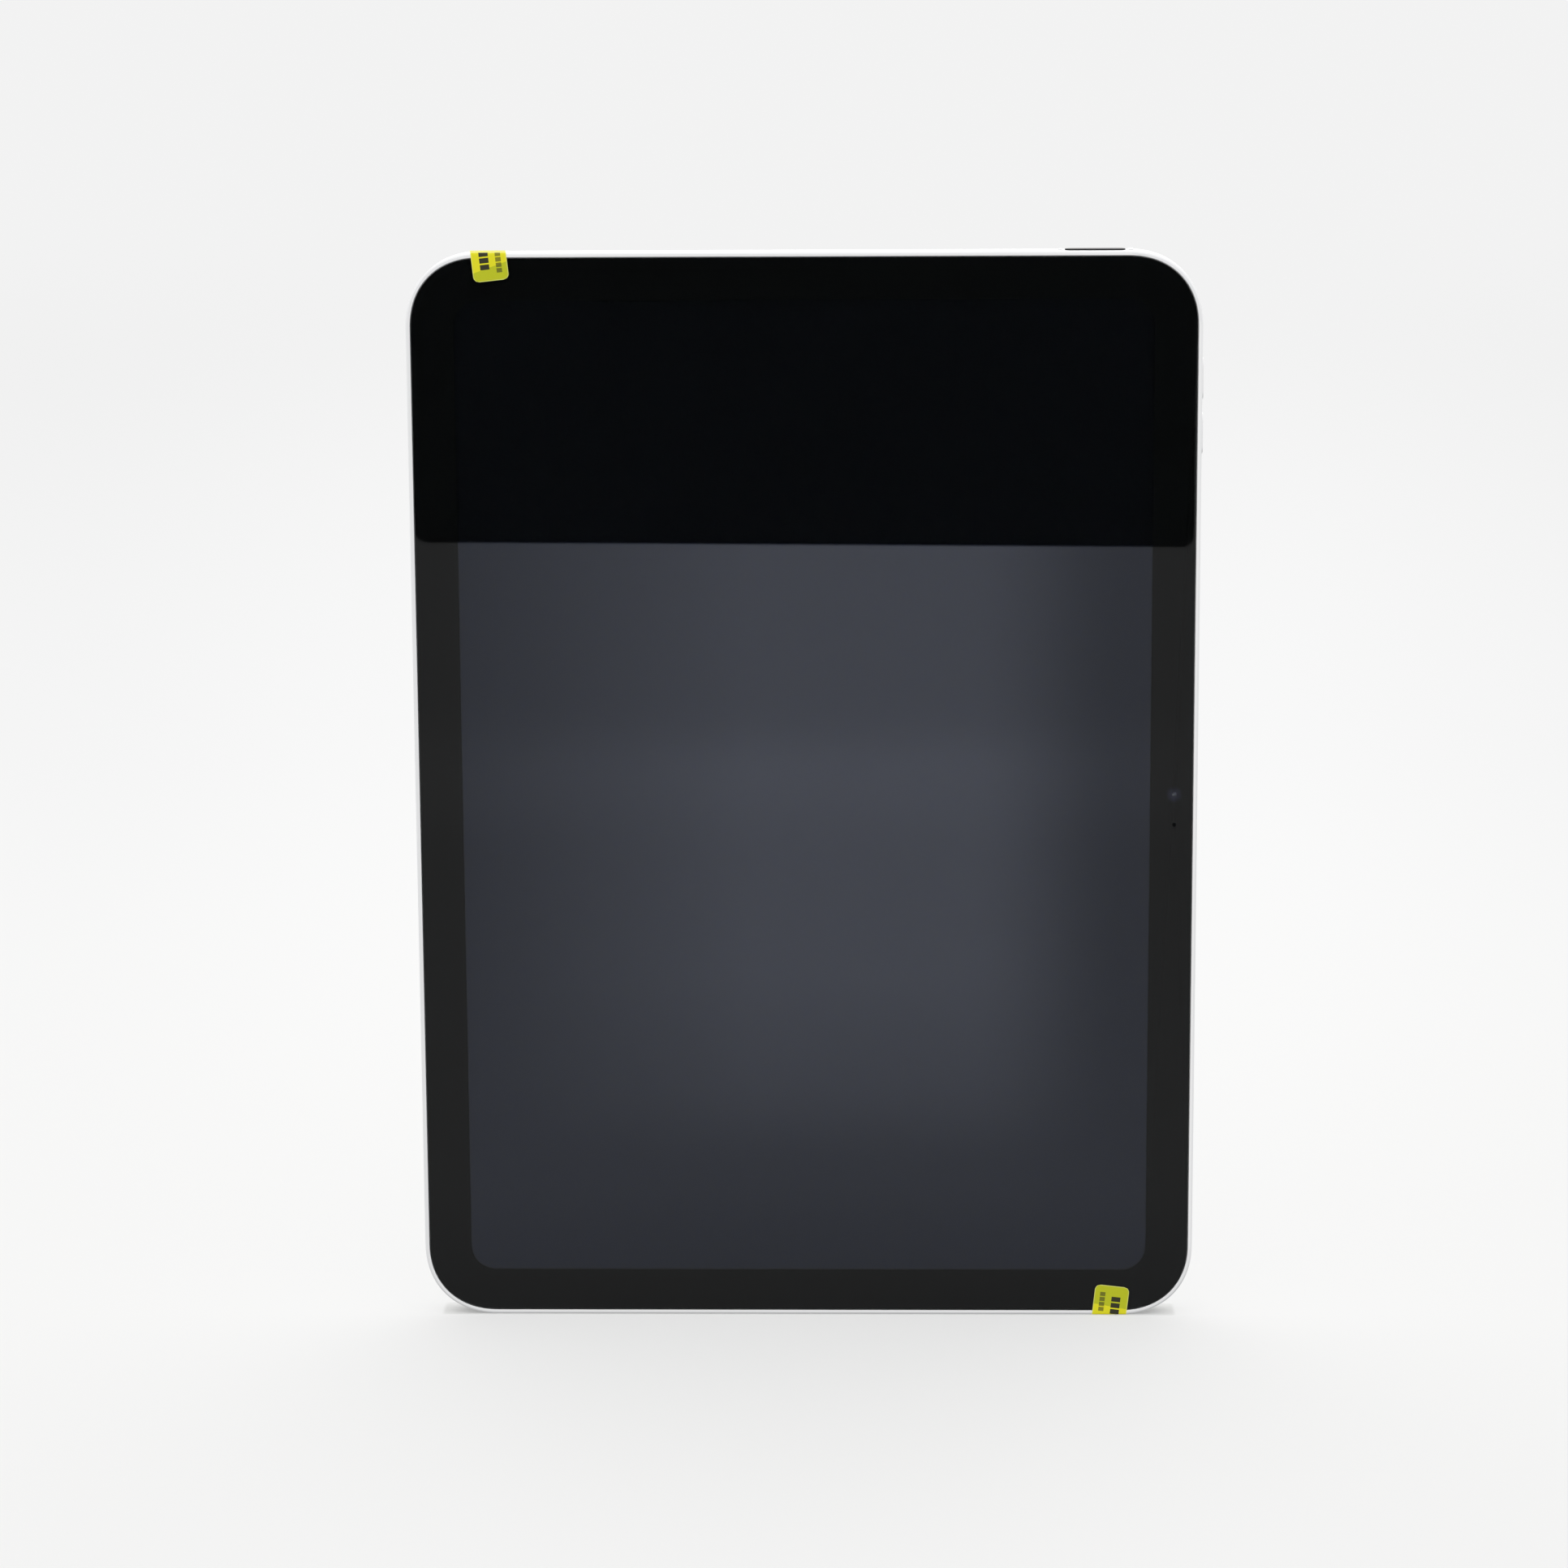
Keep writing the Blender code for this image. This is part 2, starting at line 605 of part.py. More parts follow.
def build_volume_buttons():
    """Two side buttons that slide along X towards their switches, on one bracket."""
    flange_side = SIDE_INNER - GAP / 2
    proud = WIDTH / 2 + BUTTON_PROUD
    switch_side = flange_side - BUTTON_FLANGE - BUTTON_TRAVEL - GAP / 2
    for name, height in VOLUME_BUTTONS.items():
        flange_length = VOLUME_LENGTH + 0.0010
        flange = swap(pill((height, MID_Y), flange_length, BUTTON_THICKNESS + 0.0008))
        edge = swap(pill((height, MID_Y), VOLUME_LENGTH - 2 * GAP, BUTTON_THICKNESS - 2 * GAP))
        sections = [
            (flange, flange_side - BUTTON_FLANGE),
            (flange, flange_side),
            (volume_slot(height), flange_side),
            (volume_slot(height), proud - GAP),
            (edge, proud),
        ]
        loft(f"{name}_button", "aluminium", sections, "X")
        switch = circle((MID_Y, height), SWITCH_RADIUS, 16)
        prism(f"{name}_switch", "steel", switch, switch_side - SWITCH_HEIGHT, switch_side, "X")
    bracket_side = switch_side - SWITCH_HEIGHT - GAP
    low = VOLUME_DOWN_Z - VOLUME_LENGTH / 2
    high = VOLUME_UP_Z + VOLUME_LENGTH / 2
    deep = 0.0016
    bracket = rectangle(MID_Y - deep, MID_Y + deep, low, high)
    bracket_inner = bracket_side - BUTTON_BRACKET_THICKNESS
    prism("volume_switch_bracket", "steel", bracket, bracket_inner, bracket_side, "X")


def build_keyboard_contacts():
    for number, height in enumerate(CONTACT_HEIGHTS, 1):
        outline = circle((MID_Y, height), CONTACT_RADIUS, 12)
        low = -WIDTH / 2 + GAP / 2
        prism(f"keyboard_contact_{number}", "gold", outline, low, low + WALL, "X")


def build_magnets():
    for side, word in ((-1, "left"), (1, "right")):
        outer = side * (SIDE_INNER - 2 * GAP)
        inner = outer - side * MAGNET_DEPTH
        outline = rectangle(min(outer, inner), max(outer, inner), 0.0500, 0.0950)
        prism(f"cover_magnet_{word}", "magnet", outline, INNER_BACK - 0.0013, INNER_BACK)


def build_labels():
    """Two plain stickers that seal the glass to the rim."""
    near = FRONT - LABEL_THICKNESS - GAP / 5
    far = FRONT - GAP / 5
    top = HEIGHT + GAP / 5
    over = top + LABEL_THICKNESS
    top_profile = [
        (near, HEIGHT - LABEL_DROP),
        (far, HEIGHT - LABEL_DROP),
        (far, top),
        (FRONT + LABEL_REACH, top),
        (FRONT + LABEL_REACH, over),
        (near, over),
    ]
    half = LABEL_WIDTH / 2
    prism("inspection_label_top", "sticker", top_profile, TOP_LABEL_X - half, TOP_LABEL_X + half, "X")
    outline = rectangle(BOTTOM_LABEL_X - half, BOTTOM_LABEL_X + half, 0.0002, LABEL_DROP)
    prism("inspection_label_bottom", "sticker", outline, near, far)


def main():
    for item in list(bpy.context.scene.objects):
        bpy.data.objects.remove(item)
    build_housing()
    build_glass()
    build_display()
    build_battery()
    build_logic_board()
    build_speakers()
    build_usb_port()
    build_front_camera()
    build_rear_camera()
    build_top_button()
    build_volume_buttons()
    build_keyboard_contacts()
    build_magnets()
    build_labels()


main()
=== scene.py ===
"""The looks of an upright tablet computer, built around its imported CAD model. Metres, +Z up."""

import json
from math import cos, pi, radians, sin, sqrt

import bmesh
import bpy
from mathutils import Matrix, Vector


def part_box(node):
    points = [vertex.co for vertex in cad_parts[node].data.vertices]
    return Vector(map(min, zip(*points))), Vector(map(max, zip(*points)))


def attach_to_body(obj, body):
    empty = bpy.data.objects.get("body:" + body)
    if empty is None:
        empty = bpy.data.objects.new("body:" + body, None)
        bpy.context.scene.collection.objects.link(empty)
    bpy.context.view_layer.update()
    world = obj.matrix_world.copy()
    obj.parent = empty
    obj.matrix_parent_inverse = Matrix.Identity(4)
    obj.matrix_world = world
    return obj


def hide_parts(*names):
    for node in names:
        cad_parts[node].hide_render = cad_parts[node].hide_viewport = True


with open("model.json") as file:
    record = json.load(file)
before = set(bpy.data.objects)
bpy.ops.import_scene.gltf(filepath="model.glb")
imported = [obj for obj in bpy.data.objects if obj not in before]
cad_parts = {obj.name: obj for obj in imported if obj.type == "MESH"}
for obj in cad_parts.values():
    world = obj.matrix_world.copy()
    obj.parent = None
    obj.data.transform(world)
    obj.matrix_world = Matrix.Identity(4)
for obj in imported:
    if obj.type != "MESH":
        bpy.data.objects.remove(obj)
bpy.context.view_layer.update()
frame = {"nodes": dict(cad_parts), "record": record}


def middle(node):
    """The centre of a CAD node's box."""
    low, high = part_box(node)
    return (low + high) / 2


# Sizes that the frame gives
HOUSING_LOW, HOUSING_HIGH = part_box("rear_housing")
GLASS_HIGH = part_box("cover_glass")[1]
WIDTH = HOUSING_HIGH.x - HOUSING_LOW.x
HEIGHT = HOUSING_HIGH.z - HOUSING_LOW.z
FRONT = HOUSING_LOW.y
BACK = HOUSING_HIGH.y
MID_Y = (FRONT + BACK) / 2
MID_Z = HEIGHT / 2
GLASS_INSET = HOUSING_HIGH.x - GLASS_HIGH.x
GLASS_BACK = GLASS_HIGH.y

# The shell: its corners are superellipse arcs, and it is hollow from LEDGE_Y and FLOOR_Y forwards
CORNER_REACH = 0.0170
CORNER_POWER = 2.2
CORNER_STEPS = 24
BACK_RADIUS = 0.0009
FRONT_RADIUS = 0.0005
RIM = GLASS_INSET - 0.0001
RIM_LIP = 0.00008
WALL = HOUSING_HIGH.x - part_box("cover_magnet_right")[1].x - 0.0002
LEDGE_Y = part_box("lcd_panel")[0].y - 0.0001
FLOOR_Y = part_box("battery_cell_left")[1].y + 0.00025
SHARP_ANGLE = radians(32)

# The display's lit area
ACTIVE_WIDTH = 0.15779
ACTIVE_HEIGHT = 0.22706
ACTIVE_REACH = 0.0062

# Keys: each has a flange that stays inside the housing, and a mouth that is wider by KEY_GAP
TOP_BUTTON_LENGTH = 0.0168
VOLUME_LENGTH = 0.0094
KEY_WIDTH = 0.0034
KEY_GAP = 0.0002
FLANGE_LONGER = 0.0010
FLANGE_WIDTH = 0.0042
FLANGE_THICKNESS = 0.0006
COVER_LENGTH = 0.0136
COVER_WIDTH = 0.0031
COVER_X = middle("fingerprint_sensor_cover").x - 0.0002
COVER_SEAT = HEIGHT + 0.00002

# The cover glass and the print on its back, which is a thin sheet from PRINT_NEAR to PRINT_FAR
GLASS_RADIUS = 0.00018
GLASS_BEVEL = 0.00004
PRINT_INSET = 0.00006
PRINT_NEAR = GLASS_BACK - 0.00010
PRINT_FAR = GLASS_BACK - 0.00003

# Holes
MOUTH_SOFTNESS = 0.00012
SIDE_HOLE_DEPTH = WALL + 0.0010
BACK_HOLE_DEPTH = 0.0018
SPEAKER_PITCH = 0.00254
SPEAKER_LENGTH = 0.0018
SPEAKER_WIDTH = 0.0009
CONTACT_RADIUS = 0.0012
MICROPHONE_RADIUS = 0.0005
SIDE_MICROPHONE_Z = MID_Z + 0.0300
SENSOR_RADIUS = 0.00044
FRONT_CAMERA_RADIUS = 0.0006

# Stickers: the print's places are metres along the sheet from its free end, and across it
LABEL_WIDTH = 0.0080
LABEL_THICKNESS = 0.00007
LABEL_EDGE = 0.00022
LABEL_RADIUS = 0.0013
LABEL_CLEARANCE = 0.00002
LABEL_COLUMNS = 34
LABEL_ROW = 0.0002
BOLD_BARS = {
    "centre": -0.00115,
    "half": 0.00105,
    "from": 0.0026,
    "pitch": 0.00150,
    "bar": 0.00118,
    "count": 3,
    "strength": 1.0,
}
FINE_BARS = {
    "centre": 0.00205,
    "half": 0.00062,
    "from": 0.0017,
    "pitch": 0.00122,
    "bar": 0.00100,
    "count": 4,
    "strength": 0.72,
}

# The stage
BACKGROUND = 0.890
# Painted light: near the object the floor glows brighter than the backdrop.
PAINTED_FLOOR_LIGHT_NEAR = 0.945
FLOOR_SIZE = 40.0
CAMERA_AT = Vector((0.0197, -1.0439, 0.3367))
CAMERA_YAW = radians(-1.36)
CAMERA_PITCH = radians(11.4)
CAMERA_ROLL = radians(-0.325)
CAMERA_LENS = 106.2
SOFTBOX_AT = Vector((0.0, 0.95, 0.75))
SOFTBOX_TARGET = Vector((0.0, 0.0, 0.15))


# Small helpers: outlines, as lists of points


def corner_outline(width, height, reach):
    """A rectangle whose corners are superellipse arcs, anticlockwise in (x, z)."""
    points = []
    for sign_x, sign_z, backwards in ((1, 1, 0), (-1, 1, 1), (-1, -1, 0), (1, -1, 1)):
        for i in range(CORNER_STEPS + 1):
            angle = pi / 2 * ((CORNER_STEPS - i) if backwards else i) / CORNER_STEPS
            out_x = reach * cos(angle) ** (2 / CORNER_POWER) - reach
            out_z = reach * sin(angle) ** (2 / CORNER_POWER) - reach
            points.append((sign_x * (width / 2 + out_x), MID_Z + sign_z * (height / 2 + out_z)))
    return points


def housing_outline(inset):
    return corner_outline(WIDTH - 2 * inset, HEIGHT - 2 * inset, CORNER_REACH - inset)


def glass_outline(inset):
    return housing_outline(GLASS_INSET + inset)


def circle(centre, radius, sides=48):
    turns = [2 * pi * i / sides for i in range(sides)]
    return [(centre[0] + radius * cos(t), centre[1] + radius * sin(t)) for t in turns]


def pill(centre, length, width, steps=12):
    points = []
    for side, start in ((1, -pi / 2), (-1, pi / 2)):
        for i in range(steps + 1):
            turn = start + pi * i / steps
            a = centre[0] + side * (length - width) / 2 + width / 2 * cos(turn)
            points.append((a, centre[1] + width / 2 * sin(turn)))
    return points


def rectangle(low_a, high_a, low_b, high_b):
    return [(low_a, low_b), (high_a, low_b), (high_a, high_b), (low_a, high_b)]


def circle_of(centre, radius, sides=48):
    """A function that draws the circle, inset by a distance."""

    def outline(inset):
        return circle(centre, radius - inset, sides)

    return outline


def pill_of(centre, length, width, steps=12):
    """A function that draws the pill, inset by a distance."""

    def outline(inset):
        return pill(centre, length - 2 * inset, width - 2 * inset, steps)

    return outline


def upright_pill_of(centre, length, width):
    """The same as pill_of, for a pill that is long in its second direction."""
    lying = pill_of((centre[1], centre[0]), length, width)

    def outline(inset):
        return [(b, a) for a, b in lying(inset)]

    return outline


# Small helpers: sections, each an outline and its place along an axis


def rounded_edge(outline, face, inwards, radius, steps=8):
    """Sections from a flat face, over its rounded edge, to the full width; inwards is 1 or -1."""
    sections = []
    for i in range(steps + 1):
        turn = pi / 2 * i / steps
        inset = radius * (1 - sin(turn))
        sections.append((outline(inset), face + inwards * radius * (1 - cos(turn))))
    return sections


def rounded_ends(outline, low, high, radius, steps):
    """Sections of a body with a rounded edge at both ends."""
    low_end = rounded_edge(outline, low, 1, radius, steps)
    high_end = rounded_edge(outline, high, -1, radius, steps)
    return low_end + high_end[::-1]


def key_sections(outline, flange, inner, outer, radius, steps):
    """Sections of a key from its flange to its rounded face."""
    shoulder = inner + FLANGE_THICKNESS
    sections = [(flange, inner), (flange, shoulder), (outline(0.0), shoulder)]
    return sections + rounded_edge(outline, outer, -1, radius, steps)[::-1]


def hole_sections(outline, surface, depth, outwards, softness=MOUTH_SOFTNESS):
    """Sections of a hole with a softened mouth, starting outside the surface."""
    above = 0.0004
    return [
        (outline(-(softness + above) / 2), surface + outwards * above),
        (outline(0.0), surface - outwards * softness),
        (outline(0.0), surface - outwards * depth),
    ]


def turned_sections(centre, profile, sides=96):
    """Sections of a turned body, from (radius, y) pairs."""
    return [(circle(centre, radius, sides), y) for radius, y in profile]


def dome_profile(radius, rings):
    """(radius, drop) steps of a dome, from its top down to its rim; a drop is a share of its height."""
    steps = []
    for i in range(1, rings + 1):
        turn = pi / 2 * i / rings
        steps.append((radius * sin(turn), 1 - cos(turn)))
    return steps


# Small helpers: meshes


def place(point, along, axis):
    a, b = point
    if axis == "X":
        return (along, a, b)
    if axis == "Y":
        return (a, along, b)
    return (a, b, along)


def add_rings(mesh, sections, axis):
    """One ring of vertices for each section, each joined to the next."""
    rings = []
    for points, along in sections:
        rings.append([mesh.verts.new(place(point, along, axis)) for point in points])
    for first, second in zip(rings, rings[1:]):
        join_rings(mesh, first, second)
    return rings


def join_rings(mesh, first, second):
    count = len(first)
    for i in range(count):
        j = (i + 1) % count
        mesh.faces.new((first[i], first[j], second[j], second[i]))


def add_loft(mesh, sections, axis="Y"):
    """A closed body from its first section to its last."""
    rings = add_rings(mesh, sections, axis)
    mesh.faces.new(rings[0])
    mesh.faces.new(rings[-1])


def add_ring(mesh, sections, axis="Y"):
    """A closed ring: the last section joins the first."""
    rings = add_rings(mesh, sections, axis)
    join_rings(mesh, rings[-1], rings[0])


def smooth(piece, sharp_angle=SHARP_ANGLE):
    piece.data.shade_smooth()
    piece.data.set_sharp_from_angle(angle=sharp_angle)


def weight_normals(piece):
    normals = piece.modifiers.new("normals", "WEIGHTED_NORMAL")
    normals.keep_sharp = True


def make_piece(name, mesh, material=None, weighted=True):
    """Turns a bmesh into a smooth-shaded object."""
    bmesh.ops.recalc_face_normals(mesh, faces=mesh.faces)
    data = bpy.data.meshes.new(name)
    mesh.to_mesh(data)
    mesh.free()
    piece = bpy.data.objects.new(name, data)
    bpy.context.scene.collection.objects.link(piece)
    if material:
        data.materials.append(material)
    smooth(piece)
    if weighted:
        weight_normals(piece)
    return piece


def lofted_piece(name, sections, material, axis="Y", weighted=True):
    mesh = bmesh.new()
    add_loft(mesh, sections, axis)
    return make_piece(name, mesh, material, weighted)


def ring_piece(name, sections, material, weighted=True):
    mesh = bmesh.new()
    add_ring(mesh, sections)
    return make_piece(name, mesh, material, weighted)


def attach(piece, node=None, body="tablet"):
    """Lets a piece ride on its body and stand for a CAD node."""
    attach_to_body(piece, body)
    if node:
        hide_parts(node)


def apply_modifiers(piece):
    """Bakes a piece's modifiers into its mesh."""
    bpy.context.view_layer.update()
    evaluated = piece.evaluated_get(bpy.context.evaluated_depsgraph_get())
    data = bpy.data.meshes.new_from_object(evaluated)
    piece.modifiers.clear()
    piece.data = data


def cut(piece, prisms):
    """Cuts lofts, each a list of sections and its axis, out of a piece, and applies the cut."""
    mesh = bmesh.new()
    for sections, axis in prisms:
        add_loft(mesh, sections, axis)
    cutter = make_piece(piece.name + "_cutter", mesh, weighted=False)
    boolean = piece.modifiers.new("holes", "BOOLEAN")
    boolean.solver = "EXACT"
    boolean.object = cutter
    apply_modifiers(piece)
    bpy.data.objects.remove(cutter)


def through_glass(outline):
    """A prism that cuts an outline right through the cover glass."""
    beyond = 0.001
    return [(outline, FRONT - beyond), (outline, GLASS_BACK + beyond)], "Y"


# Small helpers: materials


class Graph:
    """The node graph of a material or a world, with short ways to add and join nodes."""

    def __init__(self, owner, coordinates):
        owner.use_nodes = True
        self.tree = owner.node_tree
        self.coordinates = self.tree.nodes.new("ShaderNodeTexCoord").outputs[coordinates]

    def put(self, socket, value):
        """Joins a socket to another one, or sets its value."""
        if isinstance(value, bpy.types.NodeSocket):
            self.tree.links.new(value, socket)
        elif isinstance(value, tuple) and len(value) == 3 and socket.type == "RGBA":
            socket.default_value = (*value, 1.0)
        else:
            socket.default_value = value

    def math(self, operation, *values):
        node = self.tree.nodes.new("ShaderNodeMath")
        node.operation = operation
        for socket, value in zip(node.inputs, values):
            self.put(socket, value)
        return node.outputs[0]

    def length(self, first, second):
        """The length of a vector with two components."""
        first_square = self.math("MULTIPLY", first, first)
        second_square = self.math("MULTIPLY", second, second)
        return self.math("SQRT", self.math("ADD", first_square, second_square))

    def noise(self, scale, detail=2.0, roughness=0.5, vector=None):
        node = self.tree.nodes.new("ShaderNodeTexNoise")
        node.inputs["Scale"].default_value = scale
        node.inputs["Detail"].default_value = detail
        node.inputs["Roughness"].default_value = roughness
        self.put(node.inputs["Vector"], vector or self.coordinates)
        return node.outputs["Fac"]

    def voronoi(self, scale):
        node = self.tree.nodes.new("ShaderNodeTexVoronoi")
        node.inputs["Scale"].default_value = scale
        self.put(node.inputs["Vector"], self.coordinates)
        return node.outputs["Distance"]

    def wave(self, scale, axis, distortion=0.0):
        node = self.tree.nodes.new("ShaderNodeTexWave")
        node.bands_direction = axis
        node.inputs["Scale"].default_value = scale
        node.inputs["Distortion"].default_value = distortion
        self.put(node.inputs["Vector"], self.coordinates)
        return node.outputs["Fac"]

    def stretch(self, x, y, z):
        node = self.tree.nodes.new("ShaderNodeMapping")
        node.inputs["Scale"].default_value = (x, y, z)
        self.put(node.inputs["Vector"], self.coordinates)
        return node.outputs[0]

    def axis(self, letter, vector=None):
        node = self.tree.nodes.new("ShaderNodeSeparateXYZ")
        self.put(node.inputs[0], vector or self.coordinates)
        return node.outputs[letter]

    def remap(self, value, low, high, new_low, new_high, kind="LINEAR"):
        node = self.tree.nodes.new("ShaderNodeMapRange")
        node.interpolation_type = kind
        names = ("Value", "From Min", "From Max", "To Min", "To Max")
        for name, number in zip(names, (value, low, high, new_low, new_high)):
            self.put(node.inputs[name], number)
        return node.outputs[0]

    def mix(self, factor, first, second):
        """Mixes two colours."""
        node = self.tree.nodes.new("ShaderNodeMix")
        node.data_type = "RGBA"
        self.put(node.inputs["Factor"], factor)
        self.put(node.inputs[6], first)
        self.put(node.inputs[7], second)
        return node.outputs[2]

    def pick(self, condition, usual, otherwise):
        """Takes one of two numbers."""
        node = self.tree.nodes.new("ShaderNodeMix")
        self.put(node.inputs["Factor"], condition)
        self.put(node.inputs[2], usual)
        self.put(node.inputs[3], otherwise)
        return node.outputs[0]


class MaterialGraph(Graph):
    """A material's node graph, which starts with its principled shader."""

    def __init__(self, name):
        self.material = bpy.data.materials.new(name)
        super().__init__(self.material, "Object")
        self.shader = self.tree.nodes["Principled BSDF"]
        self.output = self.tree.nodes["Material Output"]

    def set(self, **inputs):
        for name, value in inputs.items():
            self.put(self.shader.inputs[name.replace("_", " ")], value)

    def bump(self, height, strength, distance):
        node = self.tree.nodes.new("ShaderNodeBump")
        node.inputs["Strength"].default_value = strength
        node.inputs["Distance"].default_value = distance
        self.put(node.inputs["Height"], height)
        self.put(self.shader.inputs["Normal"], node.outputs[0])

    def blend_shaders(self, factor, first, second):
        """Makes the surface a mix of two other shaders."""
        node = self.tree.nodes.new("ShaderNodeMixShader")
        self.put(node.inputs[0], factor)
        self.put(node.inputs[1], first.outputs[0])
        self.put(node.inputs[2], second.outputs[0])
        self.put(self.output.inputs["Surface"], node.outputs[0])


# Materials


def aluminium(name="anodised_aluminium", polish=0.0):
    """Bead-blasted and anodised: fine grain, a little cloudiness, and edges that shine more, partly by
    a painted highlight in their colour.
    """
    g = MaterialGraph(name)
    grain = g.noise(5200, 3.0, 0.6)
    cloud = g.noise(38, 2.0)
    edge = g.tree.nodes.new("ShaderNodeNewGeometry").outputs["Pointiness"]
    # Painted highlight: convex edges, found by pointiness, take a lighter colour, and also a little
    # less roughness.
    painted_edge_highlight = g.remap(edge, 0.52, 0.60, 0.0, 1.0)
    tone = g.mix(cloud, (0.800, 0.805, 0.810), (0.835, 0.838, 0.842))
    g.set(Base_Color=g.mix(painted_edge_highlight, tone, (0.90, 0.90, 0.90)), Metallic=1.0)
    rough = g.remap(grain, 0.3, 0.7, 0.36 - polish, 0.44 - polish)
    g.set(Roughness=g.math("SUBTRACT", rough, g.math("MULTIPLY", painted_edge_highlight, 0.08)))
    g.bump(grain, 0.10, 0.00002)
    return g.material


def clear_glass(name, tint):
    """Polished cover glass with a faint oil-repellent film that is uneven."""
    g = MaterialGraph(name)
    haze = g.noise(26, 4.0, 0.55)
    dulled = tuple(0.97 * channel for channel in tint)
    g.set(Base_Color=g.mix(haze, tint, dulled), Transmission_Weight=1.0)
    g.set(Roughness=0.0, IOR=1.5)
    return g.material


def printed_ink():
    """The black print behind the glass, with a painted violet glow around the front camera that stands
    in for the lens's reflection.
    """
    g = MaterialGraph("black_ink")
    centre = middle("front_camera_lens")
    across = g.math("SUBTRACT", g.axis("X"), centre.x)
    up = g.math("SUBTRACT", g.axis("Z"), centre.z)
    distance = g.length(across, up)
    # Painted reflection: the ink's colour turns violet around the front camera, brightest at its
    # centre.
    glow = g.remap(distance, 0.0003, 0.0023, 1.0, 0.0, "SMOOTHSTEP")
    painted_glow_core = g.remap(distance, 0.0, 0.0009, 0.6, 0.0, "SMOOTHSTEP")
    violet = g.mix(painted_glow_core, (0.031, 0.034, 0.066), (0.110, 0.120, 0.190))
    speckle = g.noise(900, 2.0)
    black = g.mix(speckle, (0.0062, 0.0065, 0.0067), (0.0074, 0.0078, 0.0080))
    g.set(Base_Color=g.mix(glow, black, violet), Roughness=0.6, Specular_IOR_Level=0.0)
    return g.material


def lcd_surface():
    """The polariser over rows of pixels: black, with a faint blue mirror."""
    g = MaterialGraph("lcd_polariser")
    rows = g.wave(1900, "Z")
    columns = g.wave(1900, "X")
    grid = g.math("MULTIPLY", rows, columns)
    g.set(Base_Color=g.mix(grid, (0.0068, 0.0071, 0.0088), (0.0086, 0.0089, 0.0108)))
    g.set(Roughness=0.0, IOR=1.5, Specular_Tint=(0.03, 0.12, 0.66))
    return g.material


def dark_sensor():
    """The dull black of the sensor windows."""
    g = MaterialGraph("sensor_sapphire")
    haze = g.noise(700, 2.0)
    g.set(Base_Color=g.mix(haze, (0.004, 0.004, 0.005), (0.007, 0.007, 0.008)))
    g.set(Roughness=g.remap(haze, 0.0, 1.0, 0.30, 0.38), Specular_IOR_Level=0.03)
    return g.material


def coated_lens():
    """A lens whose coating turns from violet in the middle to green at its rim, by the angle it is seen
    at: a painted reflection tint in its colour.
    """
    g = MaterialGraph("coated_lens")
    facing = g.tree.nodes.new("ShaderNodeLayerWeight").outputs["Facing"]
    # Painted reflection: the coating's tint is set in the base colour by how squarely the surface faces
    # the view.
    g.set(Base_Color=g.mix(facing, (0.020, 0.014, 0.060), (0.010, 0.035, 0.030)))
    g.set(Roughness=g.remap(g.noise(500), 0.0, 1.0, 0.02, 0.06))
    g.set(Coat_Weight=1.0, Coat_Roughness=0.03)
    return g.material


def steel(name="stainless_steel", tone=0.56):
    """Stamped sheet steel with fine lines from rolling."""
    g = MaterialGraph(name)
    lines = g.noise(900, 3.0, 0.6, g.stretch(1.0, 1.0, 0.04))
    dark = (0.92 * tone,) * 3
    light = (1.06 * tone,) * 3
    g.set(Base_Color=g.mix(lines, dark, light), Metallic=1.0)
    g.set(Roughness=g.remap(lines, 0.3, 0.7, 0.26, 0.40))
    g.bump(lines, 0.15, 0.00002)
    return g.material


def film():
    """White diffusing film with a fine prism texture."""
    g = MaterialGraph("white_film")
    prisms = g.wave(2600, "Z", 0.3)
    g.set(Base_Color=g.mix(prisms, (0.74, 0.75, 0.76), (0.84, 0.84, 0.83)), Roughness=0.45)
    g.bump(prisms, 0.2, 0.00001)
    return g.material


def pouch():
    """A battery cell's black laminate, softly dimpled."""
    g = MaterialGraph("battery_pouch")
    dimples = g.noise(260, 3.0, 0.5)
    g.set(Base_Color=g.mix(dimples, (0.030, 0.031, 0.034), (0.050, 0.051, 0.055)))
    g.set(Roughness=g.remap(dimples, 0.3, 0.7, 0.38, 0.55))
    g.bump(dimples, 0.35, 0.00006)
    return g.material


def circuit_board():
    """Dark green solder mask with traces that show through, and gold pads."""
    g = MaterialGraph("circuit_board")
    traces = g.wave(420, "Z", 6.0)
    trace = g.remap(traces, 0.62, 0.72, 0.0, 1.0)
    mask = g.mix(trace, (0.006, 0.034, 0.020), (0.012, 0.065, 0.036))
    pad = g.remap(g.voronoi(560), 0.22, 0.26, 1.0, 0.0)
    g.set(Base_Color=g.mix(pad, mask, (0.62, 0.43, 0.16)))
    g.set(Metallic=g.math("MULTIPLY", pad, 0.9))
    g.set(Roughness=g.remap(g.noise(700), 0.3, 0.7, 0.35, 0.5))
    g.bump(pad, 0.2, 0.00003)
    return g.material


def moulded(name, dark, light, rough_low, rough_high, scale=1800, strength=0.2):
    """Moulded plastic, rubber or a chip's resin: a fine grain over an even colour."""
    g = MaterialGraph(name)
    grain = g.noise(scale, 3.0, 0.6)
    g.set(Base_Color=g.mix(grain, dark, light))
    g.set(Roughness=g.remap(grain, 0.3, 0.7, rough_low, rough_high))
    g.bump(grain, strength, 0.00002)
    return g.material


